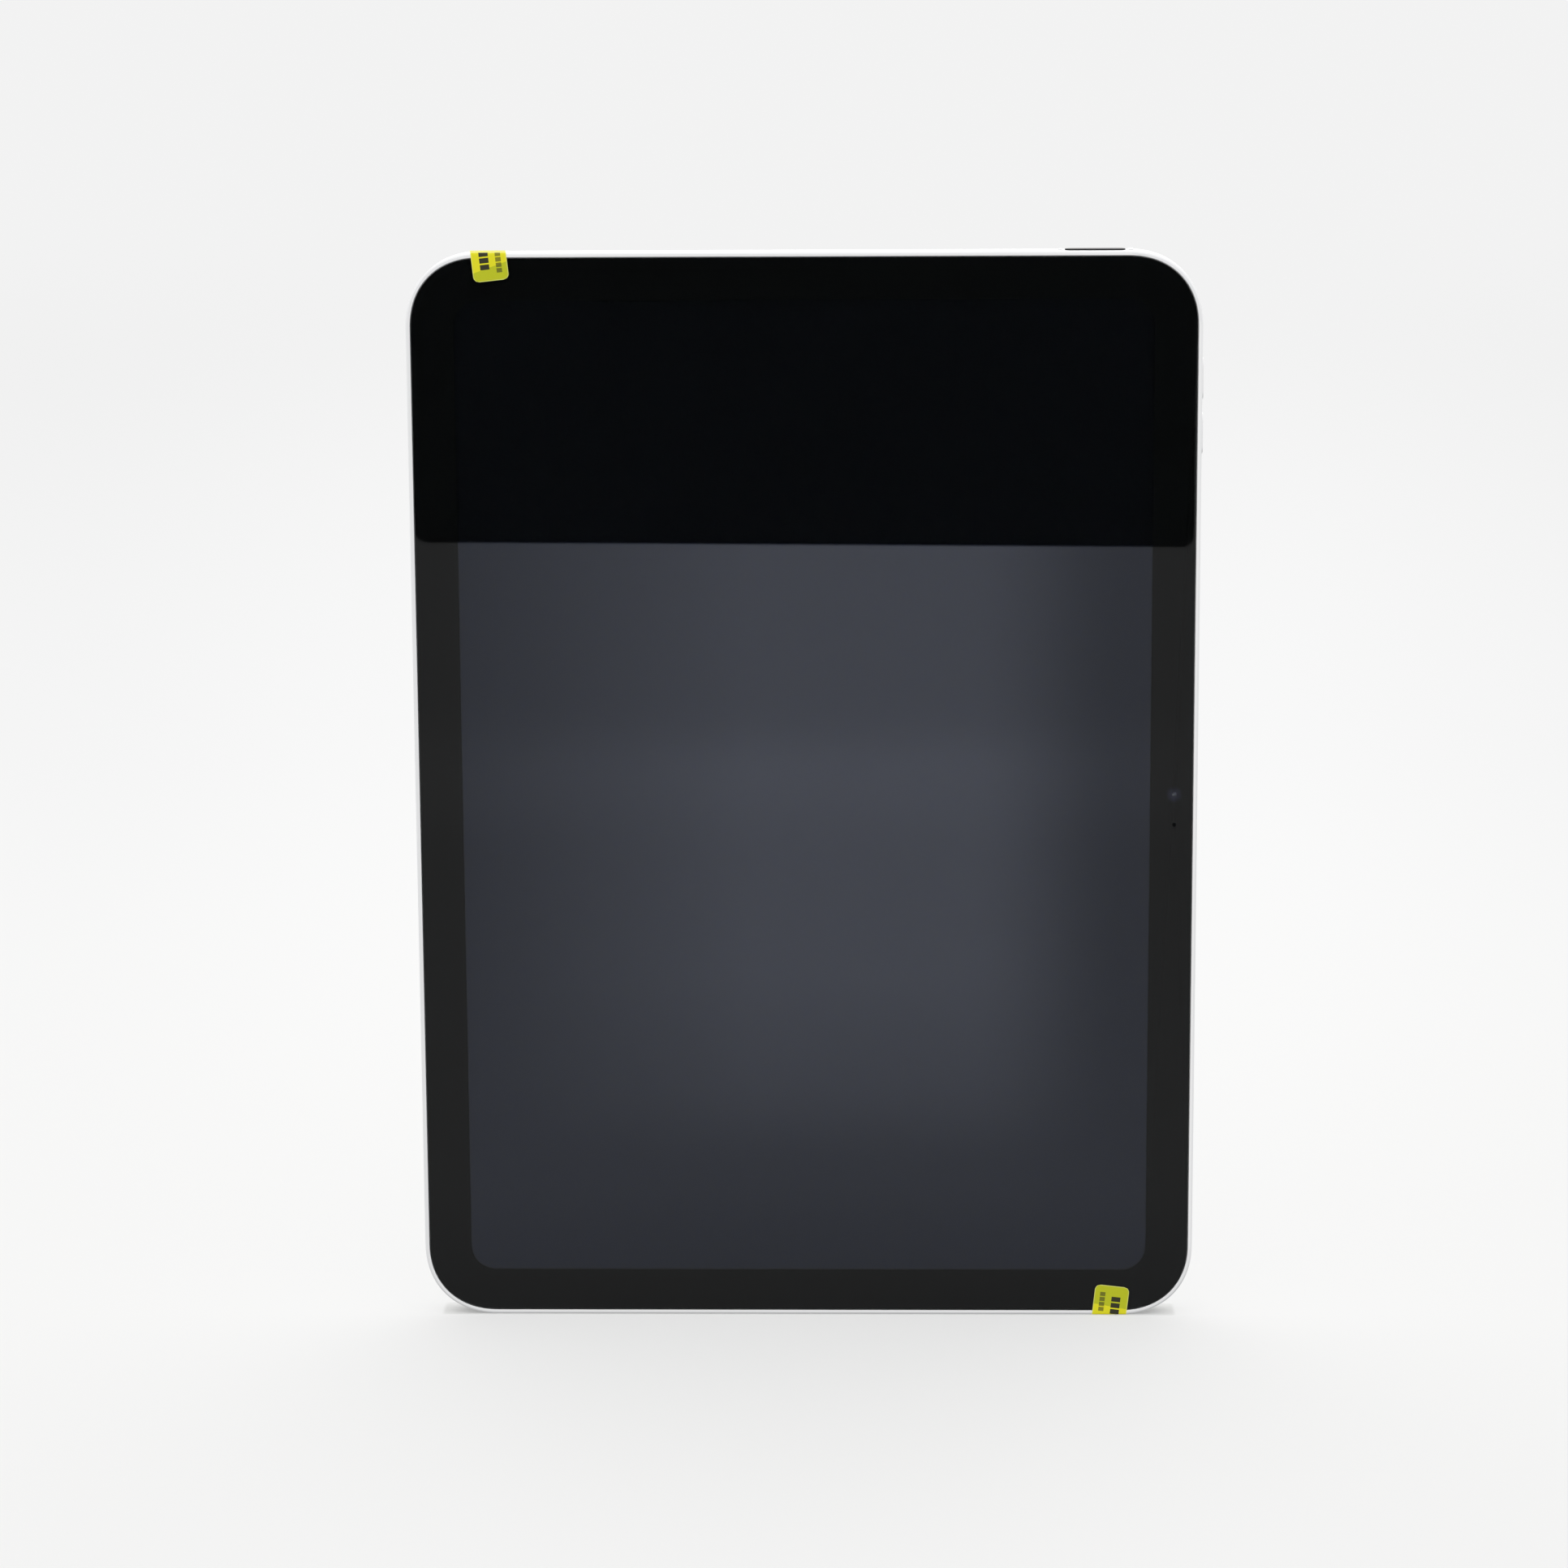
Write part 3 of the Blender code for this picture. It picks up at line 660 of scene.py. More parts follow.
def flex_print():
    """Amber film over copper tracks."""
    g = MaterialGraph("flex_print")
    tracks = g.wave(900, "X")
    shade = g.remap(tracks, 0.45, 0.60, 0.0, 1.0)
    g.set(Base_Color=g.mix(shade, (0.110, 0.038, 0.006), (0.290, 0.115, 0.022)))
    g.set(Roughness=g.remap(g.noise(500), 0.3, 0.7, 0.30, 0.42))
    g.bump(shade, 0.2, 0.00002)
    return g.material


def plated(name, dark, light, rough):
    """Plated metal, lightly polished."""
    g = MaterialGraph(name)
    rub = g.noise(1400, 2.0)
    g.set(Base_Color=g.mix(rub, dark, light), Metallic=1.0)
    g.set(Roughness=g.remap(rub, 0.3, 0.7, rough, rough + 0.10))
    return g.material


def woven_mesh():
    """Black acoustic mesh: threads with tiny square gaps."""
    g = MaterialGraph("acoustic_mesh")
    over = g.wave(7000, "X")
    under = g.wave(7000, "Y")
    threads = g.math("MAXIMUM", over, under)
    g.set(Base_Color=g.mix(threads, (0.002, 0.002, 0.002), (0.030, 0.030, 0.031)))
    g.set(Roughness=0.6)
    g.bump(threads, 0.5, 0.00003)
    return g.material


def bar_column(g, across, along, bars):
    """A column of plain bars: full strength inside a bar, and zero elsewhere."""
    inside = g.math("COMPARE", across, bars["centre"], bars["half"])
    step = g.math("SUBTRACT", along, bars["from"])
    phase = g.math("MODULO", step, bars["pitch"])
    shown = g.math("LESS_THAN", phase, bars["bar"])
    shown = g.math("MULTIPLY", shown, g.math("GREATER_THAN", step, 0.0))
    shown = g.math("MULTIPLY", shown, g.math("LESS_THAN", step, bars["pitch"] * bars["count"]))
    column = g.math("MULTIPLY", inside, shown)
    return g.math("MULTIPLY", column, bars["strength"])


def sticker(name, split, slope, mirrored=1.0):
    """Two-tone yellow label with a pale edge and plain dark bars; split is where its tones meet."""
    g = MaterialGraph(name)
    sheet = g.tree.nodes.new("ShaderNodeAttribute")
    sheet.attribute_name = "sheet"
    sideways = g.axis("X", sheet.outputs["Vector"])
    along = g.axis("Y", sheet.outputs["Vector"])
    border = g.axis("Z", sheet.outputs["Vector"])
    fibres = g.noise(1500, 3.0, 0.6)
    line = g.math("ADD", g.math("MULTIPLY", sideways, slope), split)
    upper = g.remap(g.math("SUBTRACT", along, line), -0.00006, 0.00006, 0.0, 1.0)
    tone = g.mix(upper, (0.440, 0.475, 0.010), (0.720, 0.670, 0.012))
    tone = g.mix(g.math("MULTIPLY", fibres, 0.25), tone, (0.58, 0.58, 0.03))
    across = g.math("MULTIPLY", sideways, mirrored)
    bold = bar_column(g, across, along, BOLD_BARS)
    fine = bar_column(g, across, along, FINE_BARS)
    tone = g.mix(g.math("MAXIMUM", bold, fine), tone, (0.030, 0.030, 0.012))
    pale = g.remap(border, 0.0, LABEL_EDGE, 0.75, 0.0)
    g.set(Base_Color=g.mix(pale, tone, (0.80, 0.82, 0.30)))
    g.set(Roughness=g.remap(fibres, 0.3, 0.7, 0.42, 0.55), Specular_IOR_Level=0.2)
    g.bump(fibres, 0.08, 0.00002)
    return g.material


MATERIALS = {
    "aluminium": aluminium(),
    "cover_glass": clear_glass("cover_glass", (0.92, 0.985, 1.0)),
    "sensor_cover": dark_sensor(),
    "lens": coated_lens(),
    "lcd": lcd_surface(),
    "film": film(),
    "steel": steel(),
    "pouch": pouch(),
    "board": circuit_board(),
    "chip": moulded("chip_resin", (0.018, 0.018, 0.020), (0.030, 0.030, 0.032), 0.40, 0.55),
    "black_plastic": moulded(
        "black_plastic", (0.012, 0.012, 0.013), (0.022, 0.022, 0.024), 0.42, 0.60
    ),
    "flex": flex_print(),
    "rubber": moulded(
        "black_rubber", (0.008, 0.008, 0.008), (0.014, 0.014, 0.014), 0.70, 0.85, 900, 0.4
    ),
    "gold": plated("gold_plate", (0.78, 0.60, 0.34), (0.88, 0.72, 0.46), 0.22),
    "magnet": plated("nickel_plate", (0.42, 0.42, 0.43), (0.52, 0.52, 0.54), 0.24),
    "sticker": None,  # each of the two stickers brings its own
}


def dress_cad_nodes():
    """Gives each CAD node the material of its slot in the record."""
    slots = {part["node"]: part["material_slot"] for part in frame["record"]["subparts"]}
    mesh_material = woven_mesh()
    for name, node in frame["nodes"].items():
        material = MATERIALS[slots[name]]
        if name.startswith("speaker_mesh"):
            material = mesh_material
        if name == "light_sensor":
            material = MATERIALS["sensor_cover"]
        node.data.materials.clear()
        node.data.materials.append(material)


# The housing and the glass


def speaker_holes():
    """The holes in the top and bottom edges, in rows that follow the meshes behind them."""
    holes = []
    for edge, surface, outwards in (("top", HEIGHT, 1), ("bottom", 0.0, -1)):
        for side in ("left", "right"):
            low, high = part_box(f"speaker_mesh_{edge}_{side}")
            count = round((high.x - low.x) / SPEAKER_PITCH) - 1
            for i in range(count):
                x = low.x + SPEAKER_PITCH + SPEAKER_PITCH * i
                outline = pill_of((x, MID_Y), SPEAKER_LENGTH, SPEAKER_WIDTH, 6)
                holes.append((hole_sections(outline, surface, SIDE_HOLE_DEPTH, outwards), "Z"))
    return holes


def port_hole():
    """The opening around the port's sleeve."""
    gap = 0.0002
    low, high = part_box("usb_c_shell")
    outline = pill_of((0.0, MID_Y), high.x - low.x + gap, high.y - low.y + gap)
    return hole_sections(outline, 0.0, SIDE_HOLE_DEPTH, -1), "Z"


def top_button_hole():
    """The top button's mouth."""
    x = middle("top_button_switch").x
    outline = pill_of((x, MID_Y), TOP_BUTTON_LENGTH + KEY_GAP, KEY_WIDTH + KEY_GAP)
    return hole_sections(outline, HEIGHT, SIDE_HOLE_DEPTH, 1), "Z"


def side_holes():
    """Holes for the volume buttons and a microphone on the right, and the contacts on the left."""
    holes = []
    for name in ("volume_up", "volume_down"):
        z = middle(f"{name}_switch").z
        outline = upright_pill_of((MID_Y, z), VOLUME_LENGTH + KEY_GAP, KEY_WIDTH + KEY_GAP)
        holes.append((hole_sections(outline, WIDTH / 2, SIDE_HOLE_DEPTH, 1), "X"))
    for number in (1, 2, 3):
        z = middle(f"keyboard_contact_{number}").z
        outline = circle_of((MID_Y, z), CONTACT_RADIUS)
        holes.append((hole_sections(outline, -WIDTH / 2, SIDE_HOLE_DEPTH, -1), "X"))
    outline = circle_of((MID_Y, SIDE_MICROPHONE_Z), MICROPHONE_RADIUS, 24)
    holes.append((hole_sections(outline, WIDTH / 2, SIDE_HOLE_DEPTH, 1), "X"))
    return holes


def back_holes():
    """The seat of the rear camera, and a microphone's hole."""
    gap = 0.0001
    low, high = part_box("rear_camera_ring")
    centre = middle("rear_camera_ring")
    seat = circle_of((centre.x, centre.z), (high.x - low.x) / 2 + gap, 96)
    centre = middle("rear_microphone")
    microphone = circle_of((centre.x, centre.z), MICROPHONE_RADIUS, 24)
    return [
        (hole_sections(seat, BACK, BACK_HOLE_DEPTH, 1, MOUTH_SOFTNESS / 2), "Y"),
        (hole_sections(microphone, BACK, BACK_HOLE_DEPTH, 1), "Y"),
    ]


def build_housing():
    """The aluminium tray: flat sides, a softly rounded back edge and a finer front edge."""
    sections = rounded_edge(housing_outline, BACK, -1, BACK_RADIUS)
    sections += rounded_edge(housing_outline, FRONT, 1, FRONT_RADIUS)[::-1]
    sections += [
        (housing_outline(RIM - RIM_LIP), FRONT),
        (housing_outline(RIM), FRONT + RIM_LIP),
        (housing_outline(RIM), LEDGE_Y),
        (housing_outline(WALL), LEDGE_Y),
        (housing_outline(WALL), FLOOR_Y),
    ]
    housing = lofted_piece("aluminium_housing", sections, MATERIALS["aluminium"], weighted=False)
    cut(housing, [*speaker_holes(), port_hole(), top_button_hole(), *side_holes(), *back_holes()])
    smooth(housing)
    weight_normals(housing)
    attach(housing, "rear_housing")


def build_glass():
    """The cover glass with a softened edge and a hole for the light sensor."""
    sections = rounded_edge(glass_outline, FRONT, 1, GLASS_RADIUS, 5)
    sections.append((glass_outline(0.0), GLASS_BACK - GLASS_BEVEL))
    sections.append((glass_outline(GLASS_BEVEL), GLASS_BACK))
    glass = lofted_piece("front_glass", sections, MATERIALS["cover_glass"], weighted=False)
    centre = middle("light_sensor")
    cut(glass, [through_glass(circle((centre.x, centre.z), SENSOR_RADIUS, 32))])
    smooth(glass)
    weight_normals(glass)
    attach(glass, "cover_glass")


def build_border_print():
    """The black print behind the glass, with openings for the front camera and the light sensor."""
    outer = glass_outline(PRINT_INSET)
    inner = corner_outline(ACTIVE_WIDTH, ACTIVE_HEIGHT, ACTIVE_REACH)
    sections = [
        (outer, PRINT_NEAR),
        (outer, PRINT_FAR),
        (inner, PRINT_FAR),
        (inner, PRINT_NEAR),
    ]
    ink = ring_piece("black_border_print", sections, printed_ink(), weighted=False)
    camera = middle("front_camera_lens")
    sensor = middle("light_sensor")
    openings = [
        circle((camera.x, camera.z), FRONT_CAMERA_RADIUS, 32),
        circle((sensor.x, sensor.z), SENSOR_RADIUS + 0.0001, 32),
    ]
    cut(ink, [through_glass(opening) for opening in openings])
    attach(ink)


# The keys


def build_top_button():
    """A metal key whose ends slope down to the dark sensor cover between them."""
    low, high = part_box("top_button")
    top = high.z
    centre = (middle("top_button_switch").x, MID_Y)
    outline = pill_of(centre, TOP_BUTTON_LENGTH, KEY_WIDTH)
    flange = pill(centre, TOP_BUTTON_LENGTH + FLANGE_LONGER, FLANGE_WIDTH)
    sections = key_sections(outline, flange, low.z, top, 0.00016, 5)
    button = lofted_piece("top_button_key", sections, MATERIALS["aluminium"], "Z", weighted=False)
    foot = COVER_LENGTH / 2 + 0.0001
    brim = COVER_LENGTH / 2 + 0.00125
    brim_z = top + 0.00001
    above = top + 0.0002
    dish = [
        (COVER_X - brim, above),
        (COVER_X - brim, brim_z),
        (COVER_X - foot, COVER_SEAT),
        (COVER_X + foot, COVER_SEAT),
        (COVER_X + brim, brim_z),
        (COVER_X + brim, above),
    ]
    cut(button, [([(dish, MID_Y - KEY_WIDTH), (dish, MID_Y + KEY_WIDTH)], "Y")])
    smooth(button, radians(25))
    attach(button, "top_button", "top_button")

    outline = pill_of((COVER_X, MID_Y), COVER_LENGTH, COVER_WIDTH)
    sections = rounded_ends(outline, COVER_SEAT, top - 0.00008, 0.00006, 5)
    cover = lofted_piece("sensor_window", sections, MATERIALS["sensor_cover"], "Z")
    attach(cover, "fingerprint_sensor_cover", "top_button")


def build_volume_buttons():
    """Two long keys on the right edge."""
    for name in ("volume_up", "volume_down"):
        node = f"{name}_button"
        low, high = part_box(node)
        centre = (MID_Y, middle(node).z)
        outline = upright_pill_of(centre, VOLUME_LENGTH, KEY_WIDTH)
        flange = upright_pill_of(centre, VOLUME_LENGTH + FLANGE_LONGER, FLANGE_WIDTH)(0.0)
        sections = key_sections(outline, flange, low.x, high.x, 0.00020, 6)
        key = lofted_piece(f"{name}_key", sections, MATERIALS["aluminium"], "X")
        attach(key, node, node)


# The port and the contacts


def build_port_sleeve():
    """The port's drawn steel sleeve, open at the bottom."""
    low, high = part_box("usb_c_shell")
    outline = pill_of((0.0, MID_Y), high.x - low.x, high.y - low.y, 16)
    wall = 0.0003
    sections = [
        (outline(0.0), high.z),
        (outline(0.0), low.z + 0.0001),
        (outline(0.0001), low.z),
        (outline(wall - 0.00005), low.z),
        (outline(wall), low.z + 0.00015),
        (outline(wall), high.z - 0.0004),
    ]
    sleeve = lofted_piece("usb_c_sleeve", sections, steel("drawn_steel", 0.62), "Z")
    attach(sleeve, "usb_c_shell")


def build_port_tongue():
    """The blade in the port, with a row of gold contacts on both faces."""
    low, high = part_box("usb_c_tongue")
    thick = (high.y - low.y) / 2

    def outline(inset):
        side = high.x - inset
        return rectangle(-side, side, MID_Y - thick + inset, MID_Y + thick - inset)

    sections = rounded_ends(outline, low.z, high.z, 0.00012, 3)
    tongue = lofted_piece("usb_c_tongue_blade", sections, MATERIALS["black_plastic"], "Z")
    attach(tongue, "usb_c_tongue")

    pad_count = 12
    pad_pitch = 0.0005
    pad_half = 0.00013
    mesh = bmesh.new()
    for side in (-1, 1):
        face = MID_Y + side * (thick + 0.00002)
        back = MID_Y + side * (thick - 0.00005)
        for i in range(pad_count):
            x = (i - (pad_count - 1) / 2) * pad_pitch
            pad = rectangle(x - pad_half, x + pad_half, min(face, back), max(face, back))
            add_loft(mesh, [(pad, low.z + 0.0007), (pad, low.z + 0.0040)], "Z")
    pads = make_piece("usb_c_contact_rows", mesh, MATERIALS["gold"])
    attach(pads)


def build_keyboard_contacts():
    """Three gold studs in the left edge, slightly domed at their rims."""
    for number in (1, 2, 3):
        node = f"keyboard_contact_{number}"
        low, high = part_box(node)
        outline = circle_of((MID_Y, middle(node).z), (high.z - low.z) / 2, 40)
        sections = rounded_edge(outline, low.x, 1, 0.00015, 5)
        sections.append((outline(0.0), high.x))
        contact = lofted_piece(f"accessory_contact_{number}", sections, MATERIALS["gold"], "X")
        attach(contact, node)


# The cameras


def build_camera_bezel(centre):
    """The raised ring, turned bright."""
    low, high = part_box("rear_camera_ring")
    radius = (high.x - low.x) / 2
    bore = radius - 0.0017
    bevel = 0.00020
    outline = circle_of(centre, radius, 96)
    sections = [(outline(0.0), low.y)]
    sections += rounded_edge(outline, high.y, -1, 0.00035, 6)[::-1]
    inner_profile = [(bore + bevel, high.y), (bore, high.y - bevel), (bore, low.y)]
    sections += turned_sections(centre, inner_profile)
    bezel = ring_piece("camera_bezel", sections, aluminium("turned_aluminium", 0.12))
    attach(bezel, "rear_camera_ring")


def build_camera_window(centre):
    """The clear window, and the black print with a round opening on its back."""
    low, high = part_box("rear_camera_window")
    radius = (high.x - low.x) / 2
    outline = circle_of(centre, radius, 96)
    sections = [(outline(0.0), low.y)]
    sections += rounded_edge(outline, high.y, -1, 0.0001, 3)[::-1]
    glass = clear_glass("camera_glass", (0.97, 0.98, 1.0))
    window = lofted_piece("camera_window_glass", sections, glass)
    attach(window, "rear_camera_window")

    near = low.y + 0.00009
    far = low.y + 0.00003
    outer = radius - 0.00005
    opening = 0.0027
    profile = [(outer, near), (outer, far), (opening, far), (opening, near)]
    ink = moulded("camera_print", (0.0030, 0.0030, 0.0034), (0.0050, 0.0050, 0.0055), 0.5, 0.7)
    border = ring_piece("camera_window_print", turned_sections(centre, profile), ink)
    attach(border)


def build_camera_barrel(centre):
    """The black barrel, which steps down towards the lens."""
    low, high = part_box("rear_camera_module")
    radius = (high.x - low.x) / 2
    front = high.y
    profile = [
        (radius, low.y),
        (radius, front - 0.0001),
        (radius - 0.0001, front),
        (0.0025, front),
        (0.0024, front - 0.0001),
        (0.0022, front - 0.0003),
        (0.0022, front - 0.0005),
        (0.0020, front - 0.0005),
        (0.0020, front - 0.0008),
    ]
    sections = turned_sections(centre, profile)
    barrel = lofted_piece("camera_barrel", sections, MATERIALS["black_plastic"])
    attach(barrel, "rear_camera_module")


def build_rear_camera():
    """The ring, the window, the barrel, and the domed lens that shows through the window."""
    ring = middle("rear_camera_ring")
    centre = (ring.x, ring.z)
    build_camera_bezel(centre)
    build_camera_window(centre)
    build_camera_barrel(centre)
    low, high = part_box("rear_camera_lens")
    radius = (high.x - low.x) / 2
    height = (high.y - low.y) * 0.7
    profile = [(radius, low.y), (radius, high.y - height)]
    for dome_radius, drop in reversed(dome_profile(radius, 10)[:-1]):
        profile.append((dome_radius, high.y - height * drop))
    sections = turned_sections(centre, profile, 64)
    lens = lofted_piece("camera_lens_element", sections, MATERIALS["lens"])
    attach(lens, "rear_camera_lens")


def build_front_camera():
    """The small lens dome behind the front glass."""
    low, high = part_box("front_camera_lens")
    centre = middle("front_camera_lens")
    radius = (high.x - low.x) / 2
    height = (high.y - low.y) * 0.7
    profile = [(r, low.y + height * drop) for r, drop in dome_profile(radius, 10)]
    profile.append((radius, high.y))
    sections = turned_sections((centre.x, centre.z), profile, 48)
    lens = lofted_piece("front_lens_element", sections, MATERIALS["lens"])
    attach(lens, "front_camera_lens")


# The stickers


def label_grid(mesh, lift, foot, tilt, end, path):
    """Rows of vertices over the whole sheet, lifted off its path."""
    rows = round((end - foot[1]) / LABEL_ROW)
    sheet = mesh.verts.layers.float_vector["sheet"]
    grid = []
    for j in range(rows + 1):
        line = []
        for i in range(LABEL_COLUMNS + 1):
            share = 2 * i / LABEL_COLUMNS - 1
            full = (end - foot[1] - share * LABEL_WIDTH / 2 * sin(tilt)) / cos(tilt)
            b = full * j / rows
            curve = max(LABEL_RADIUS - b, 0.0)
            half = LABEL_WIDTH / 2 - LABEL_RADIUS + sqrt(LABEL_RADIUS**2 - curve**2)
            a = half * share
            x = foot[0] + a * cos(tilt) - b * sin(tilt)
            (y, z), (out_y, out_z) = path(foot[1] + a * sin(tilt) + b * cos(tilt))
            vertex = mesh.verts.new((x, y + out_y * lift, z + out_z * lift))
            vertex[sheet] = (a, b, min(half - abs(a), b))
            line.append(vertex)
        grid.append(line)
    return grid


def build_label(name, material, node, foot, tilt, end, path):
    """A thin sheet with two rounded corners at its free end, which follows a path to its cut end.

    foot is the middle of the free end, as (x, distance along the path). The sheet runs from there to
    the distance end, turned by tilt. path turns a distance into (y, z) and the outward normal.
    """
    mesh = bmesh.new()
    mesh.verts.layers.float_vector.new("sheet")
    lower = label_grid(mesh, 0.0, foot, tilt, end, path)
    upper = label_grid(mesh, LABEL_THICKNESS, foot, tilt, end, path)
    rows = len(lower) - 1
    columns = LABEL_COLUMNS
    for j in range(rows):
        for i in range(columns):
            around = (j, i), (j, i + 1), (j + 1, i + 1), (j + 1, i)
            mesh.faces.new([upper[row][column] for row, column in around])
            mesh.faces.new([lower[row][column] for row, column in reversed(around)])
    rim = [(0, i) for i in range(columns)]
    rim += [(j, columns) for j in range(rows)]
    rim += [(rows, i) for i in range(columns, 0, -1)]
    rim += [(j, 0) for j in range(rows, 0, -1)]
    for (row, column), (row2, column2) in zip(rim, rim[1:] + rim[:1]):
        above = (upper[row][column], upper[row2][column2])
        below = (lower[row2][column2], lower[row][column])
        mesh.faces.new(above + below)
    label = make_piece(name, mesh, material, weighted=False)
    attach(label, node)


def folded_path(edge, direction):
    """A path up the front and round its edge: distance 0 is where the edge starts to turn.

    edge is the height of the tablet's end face, and direction is 1 for its top, -1 for its bottom.
    """
    arc = FRONT_RADIUS * pi / 2
    reach = FRONT_RADIUS + LABEL_CLEARANCE

    def path(distance):
        if distance < 0:
            z = edge + direction * (distance - FRONT_RADIUS)
            return (FRONT - LABEL_CLEARANCE, z), (-1.0, 0.0)
        if distance > arc:
            y = FRONT + FRONT_RADIUS + distance - arc
            return (y, edge + direction * LABEL_CLEARANCE), (0.0, direction)
        turn = distance / FRONT_RADIUS
        y = FRONT + FRONT_RADIUS - reach * cos(turn)
        z = edge + direction * (reach * sin(turn) - FRONT_RADIUS)
        return (y, z), (-cos(turn), direction * sin(turn))

    return path


def build_labels():
    """Two stickers: one folds over the whole top face, one ends in the bottom edge's rounding."""
    arc = FRONT_RADIUS * pi / 2
    shift = 0.0002
    node = "inspection_label_top"
    low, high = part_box(node)
    foot = (middle(node).x + shift, low.z + 0.0006 - (HEIGHT - FRONT_RADIUS))
    end = arc + high.y - FRONT - FRONT_RADIUS
    paper = sticker("label_film_top", 0.00305, 0.24)
    build_label("top_sticker", paper, node, foot, radians(6.3), end, folded_path(HEIGHT, 1))

    node = "inspection_label_bottom"
    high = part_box(node)[1]
    foot = (middle(node).x + shift, FRONT_RADIUS - high.z - 0.0002)
    end = 0.6 * arc
    paper = sticker("label_film_bottom", 0.0050, 0.08, -1.0)
    build_label("bottom_sticker", paper, node, foot, radians(6.4), end, folded_path(0.0, -1))


# The stage, which isn't part of the object


def build_camera():
    data = bpy.data.cameras.new("camera")
    data.lens = CAMERA_LENS
    camera = bpy.data.objects.new("camera", data)
    bpy.context.scene.collection.objects.link(camera)
    yaw = Matrix.Rotation(-CAMERA_YAW, 4, "Z")
    pitch = Matrix.Rotation(pi / 2 - CAMERA_PITCH, 4, "X")
    roll = Matrix.Rotation(CAMERA_ROLL, 4, "Z")
    camera.matrix_world = Matrix.Translation(CAMERA_AT) @ yaw @ pitch @ roll
    bpy.context.scene.camera = camera


def build_floor():
    """A pale floor that fades into the backdrop's own brightness away from the object."""
    mesh = bmesh.new()
    corners = rectangle(-FLOOR_SIZE, FLOOR_SIZE, -FLOOR_SIZE, FLOOR_SIZE)
    mesh.faces.new([mesh.verts.new((x, y, 0.0)) for x, y in corners])
    g = MaterialGraph("floor")
    across = g.axis("X")
    deep = g.axis("Y")
    aside = g.math("ABSOLUTE", across)
    distance = g.length(across, deep)

    # It takes real shadows near the object, down to a thin dark line where the two touch.
    past_x = g.math("MAXIMUM", g.math("SUBTRACT", aside, 0.0850), 0.0)
    past_y = g.math("MAXIMUM", g.math("SUBTRACT", g.math("ABSOLUTE", deep), 0.0036), 0.0)
    contact = g.remap(g.length(past_x, past_y), 0.0003, 0.0014, 0.0, 1.0, "SMOOTHSTEP")
    fading = g.remap(distance, 0.10, 0.80, 0.58, 1.0, "SMOOTHSTEP")
    diffuse = g.tree.nodes.new("ShaderNodeBsdfDiffuse")
    diffuse.inputs["Color"].default_value = (0.775, 0.775, 0.765, 1.0)

    # It is even further off; nearer the object its glow is a painted pool of light, and painted shade
    # makes it a little darker towards both sides.
    bright = g.remap(distance, 0.5, 2.4, PAINTED_FLOOR_LIGHT_NEAR, BACKGROUND, "SMOOTHSTEP")
    sideways = g.math("DIVIDE", aside, g.math("SUBTRACT", deep, CAMERA_AT.y))
    nearby = g.remap(distance, 1.0, 3.5, 0.03, 0.0, "SMOOTHSTEP")
    painted_side_shade = g.math("MULTIPLY", g.remap(sideways, 0.08, 0.18, 0.0, 1.0, "SMOOTHSTEP"), nearby)
    glow = g.tree.nodes.new("ShaderNodeEmission")
    g.put(glow.inputs["Strength"], g.math("MULTIPLY", bright, g.math("SUBTRACT", 1.0, painted_side_shade)))
    g.blend_shaders(g.math("MULTIPLY", fading, contact), diffuse, glow)
    floor = make_piece("floor", mesh, g.material, weighted=False)
    floor.visible_glossy = False
    floor.visible_transmission = False


def build_world():
    """Even light from all round, brighter from above; the camera sees a plain backdrop."""
    world = bpy.data.worlds.new("studio")
    bpy.context.scene.world = world
    g = Graph(world, "Generated")
    height = g.axis("Z")
    rays = g.tree.nodes.new("ShaderNodeLightPath").outputs
    lighting = g.remap(height, -0.2, 1.0, 0.86, 1.25, "SMOOTHSTEP")
    upper = g.remap(height, -0.30, 0.30, 0.90, 1.16, "SMOOTHSTEP")
    lower = g.remap(height, -0.75, -0.35, 0.62, 1.0, "SMOOTHSTEP")
    mirrored = g.math("MULTIPLY", upper, lower)
    unseen = g.pick(rays["Is Glossy Ray"], lighting, mirrored)
    sky = g.tree.nodes["Background"]
    sky.inputs["Color"].default_value = (1.0, 1.0, 1.0, 1.0)
    g.put(sky.inputs["Strength"], g.pick(rays["Is Camera Ray"], unseen, BACKGROUND))


def build_softbox():
    """One soft light, high behind the object."""
    data = bpy.data.lights.new("back_softbox", "AREA")
    data.shape = "RECTANGLE"
    data.size = 1.4
    data.size_y = 0.6
    data.energy = 2.2
    light = bpy.data.objects.new("back_softbox", data)
    bpy.context.scene.collection.objects.link(light)
    turn = (SOFTBOX_TARGET - SOFTBOX_AT).to_track_quat("-Z", "Y")
    light.matrix_world = Matrix.Translation(SOFTBOX_AT) @ turn.to_matrix().to_4x4()


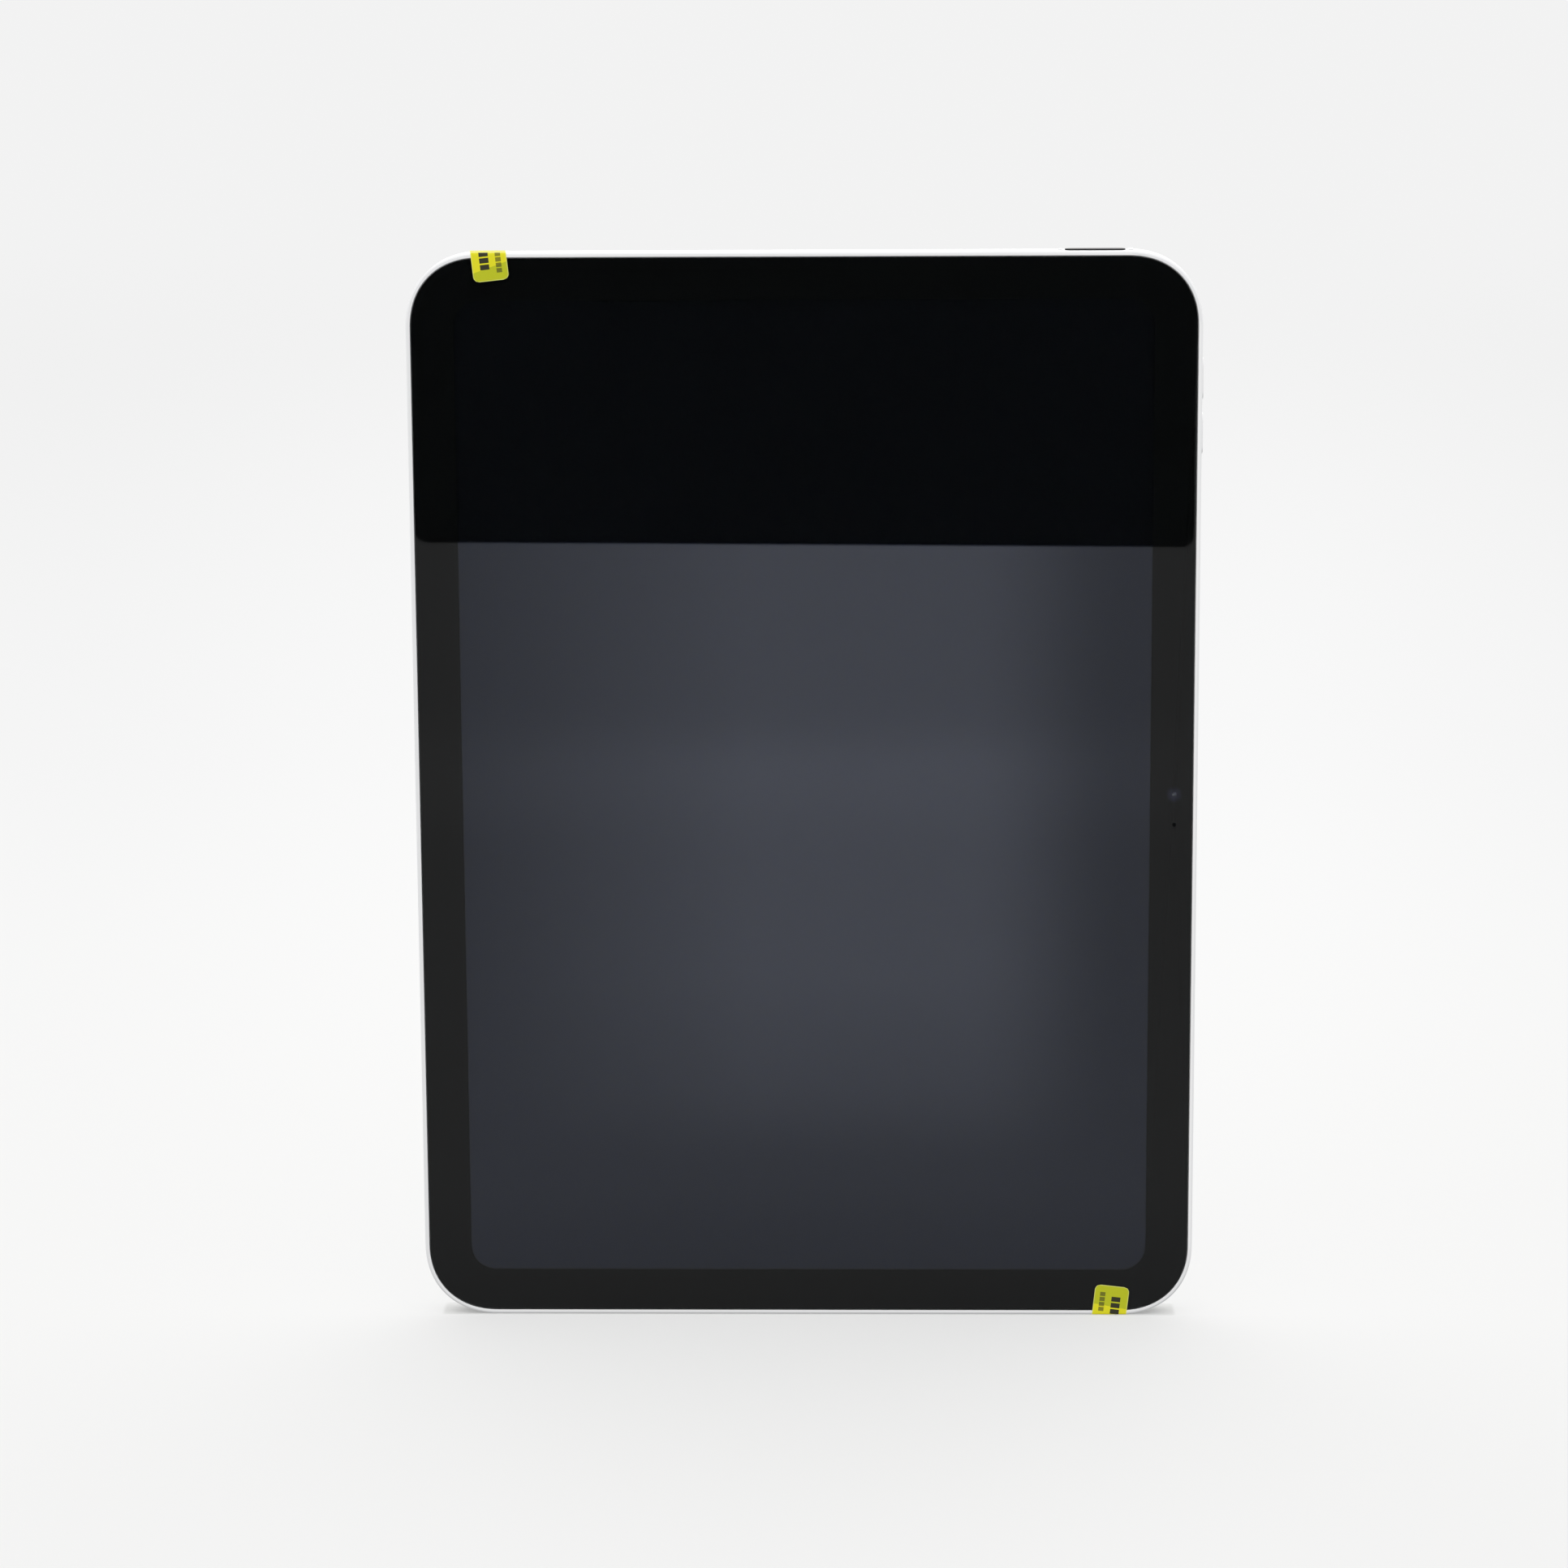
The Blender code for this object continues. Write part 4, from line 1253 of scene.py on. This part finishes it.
def room_brightness(g, u, v):
    """Even at the sides, with a broad lighter band up the middle."""
    rise = g.remap(u, -0.082, -0.012, 0.0, 1.0)
    fall = g.remap(u, 0.036, 0.074, 1.0, 0.0, "SMOOTHSTEP")
    bell = g.math("MULTIPLY", rise, fall)
    ramp = g.tree.nodes.new("ShaderNodeValToRGB")
    g.put(ramp.inputs["Fac"], g.remap(v, 0.0, 0.2486, 0.0, 1.0))
    stops = (
        (0.0, 0.0),
        (0.10, 0.02),
        (0.155, 0.06),
        (0.22, 0.21),
        (0.33, 0.35),
        (0.45, 0.36),
        (0.53, 0.385),
        (0.57, 0.305),
        (0.75, 0.305),
    )
    while len(ramp.color_ramp.elements) < len(stops):
        ramp.color_ramp.elements.new(0.5)
    for element, (at, value) in zip(ramp.color_ramp.elements, stops):
        element.position = at
        element.color = (value, value, value, 1.0)
    from_band = g.math("ABSOLUTE", g.math("SUBTRACT", v, 0.129))
    band = g.remap(from_band, 0.0, 0.02, 0.05, 0.0, "SMOOTHSTEP")
    base = g.math("ADD", g.remap(v, 0.0, 0.03, 0.275, 0.353), band)
    return g.math("ADD", base, g.math("MULTIPLY", ramp.outputs["Color"], bell))


def outside_panel(g, u, v):
    """0 on the dark panel, a rounded shape whose lower edge is a little out of level; 1 off it."""
    corner = 0.0032
    lower = g.math("ADD", 0.1823, g.math("MULTIPLY", u, -0.0082))
    from_middle = g.math("ABSOLUTE", g.math("ADD", u, 0.0002))
    aside = g.math("SUBTRACT", from_middle, 0.0887 - corner)
    below = g.math("SUBTRACT", g.math("ADD", lower, corner), v)
    outside = g.length(g.math("MAXIMUM", aside, 0.0), g.math("MAXIMUM", below, 0.0))
    inside = g.math("MINIMUM", g.math("MAXIMUM", aside, below), 0.0)
    distance = g.math("SUBTRACT", g.math("ADD", outside, inside), corner)
    return g.remap(distance, -0.0004, 0.0004, 0.0, 1.0, "SMOOTHSTEP")


def build_reflected_room():
    """What the screen mirrors: a dark panel high up, over a grey room, lightest in its middle.

    Only mirror-like rays see this card. Its pattern is laid out in the glass's own width and
    height, u and v, as the glass shows it to the camera.
    """
    back = 1.2
    ratio = (back + FRONT) / (FRONT - CAMERA_AT.y)
    mesh = bmesh.new()
    corners = rectangle(-0.9, 0.9, -1.2, 0.9)
    mesh.faces.new([mesh.verts.new((x, -back, z)) for x, z in corners])
    g = MaterialGraph("reflected_room")
    u = g.math("DIVIDE", g.math("ADD", g.axis("X"), CAMERA_AT.x * ratio), 1 + ratio)
    v = g.math("DIVIDE", g.math("ADD", g.axis("Z"), CAMERA_AT.z * ratio), 1 + ratio)
    lit = outside_panel(g, u, v)
    glow = g.tree.nodes.new("ShaderNodeEmission")
    g.put(glow.inputs["Strength"], g.math("MULTIPLY", room_brightness(g, u, v), lit))
    through = g.tree.nodes.new("ShaderNodeBsdfTransparent")
    rays = g.tree.nodes.new("ShaderNodeLightPath").outputs
    dimmed = g.math("MULTIPLY", g.math("SUBTRACT", 1.0, lit), 0.20)
    g.blend_shaders(g.math("MAXIMUM", rays["Is Singular Ray"], dimmed), through, glow)
    card = make_piece("reflected_room", mesh, g.material, weighted=False)
    card.visible_camera = False
    card.visible_diffuse = False
    card.visible_shadow = False


dress_cad_nodes()
build_housing()
build_glass()
build_border_print()
build_top_button()
build_volume_buttons()
build_port_sleeve()
build_port_tongue()
build_keyboard_contacts()
build_rear_camera()
build_front_camera()
build_labels()
build_camera()
build_floor()
build_world()
build_softbox()
build_reflected_room()
bpy.context.scene.view_settings.view_transform = "Standard"
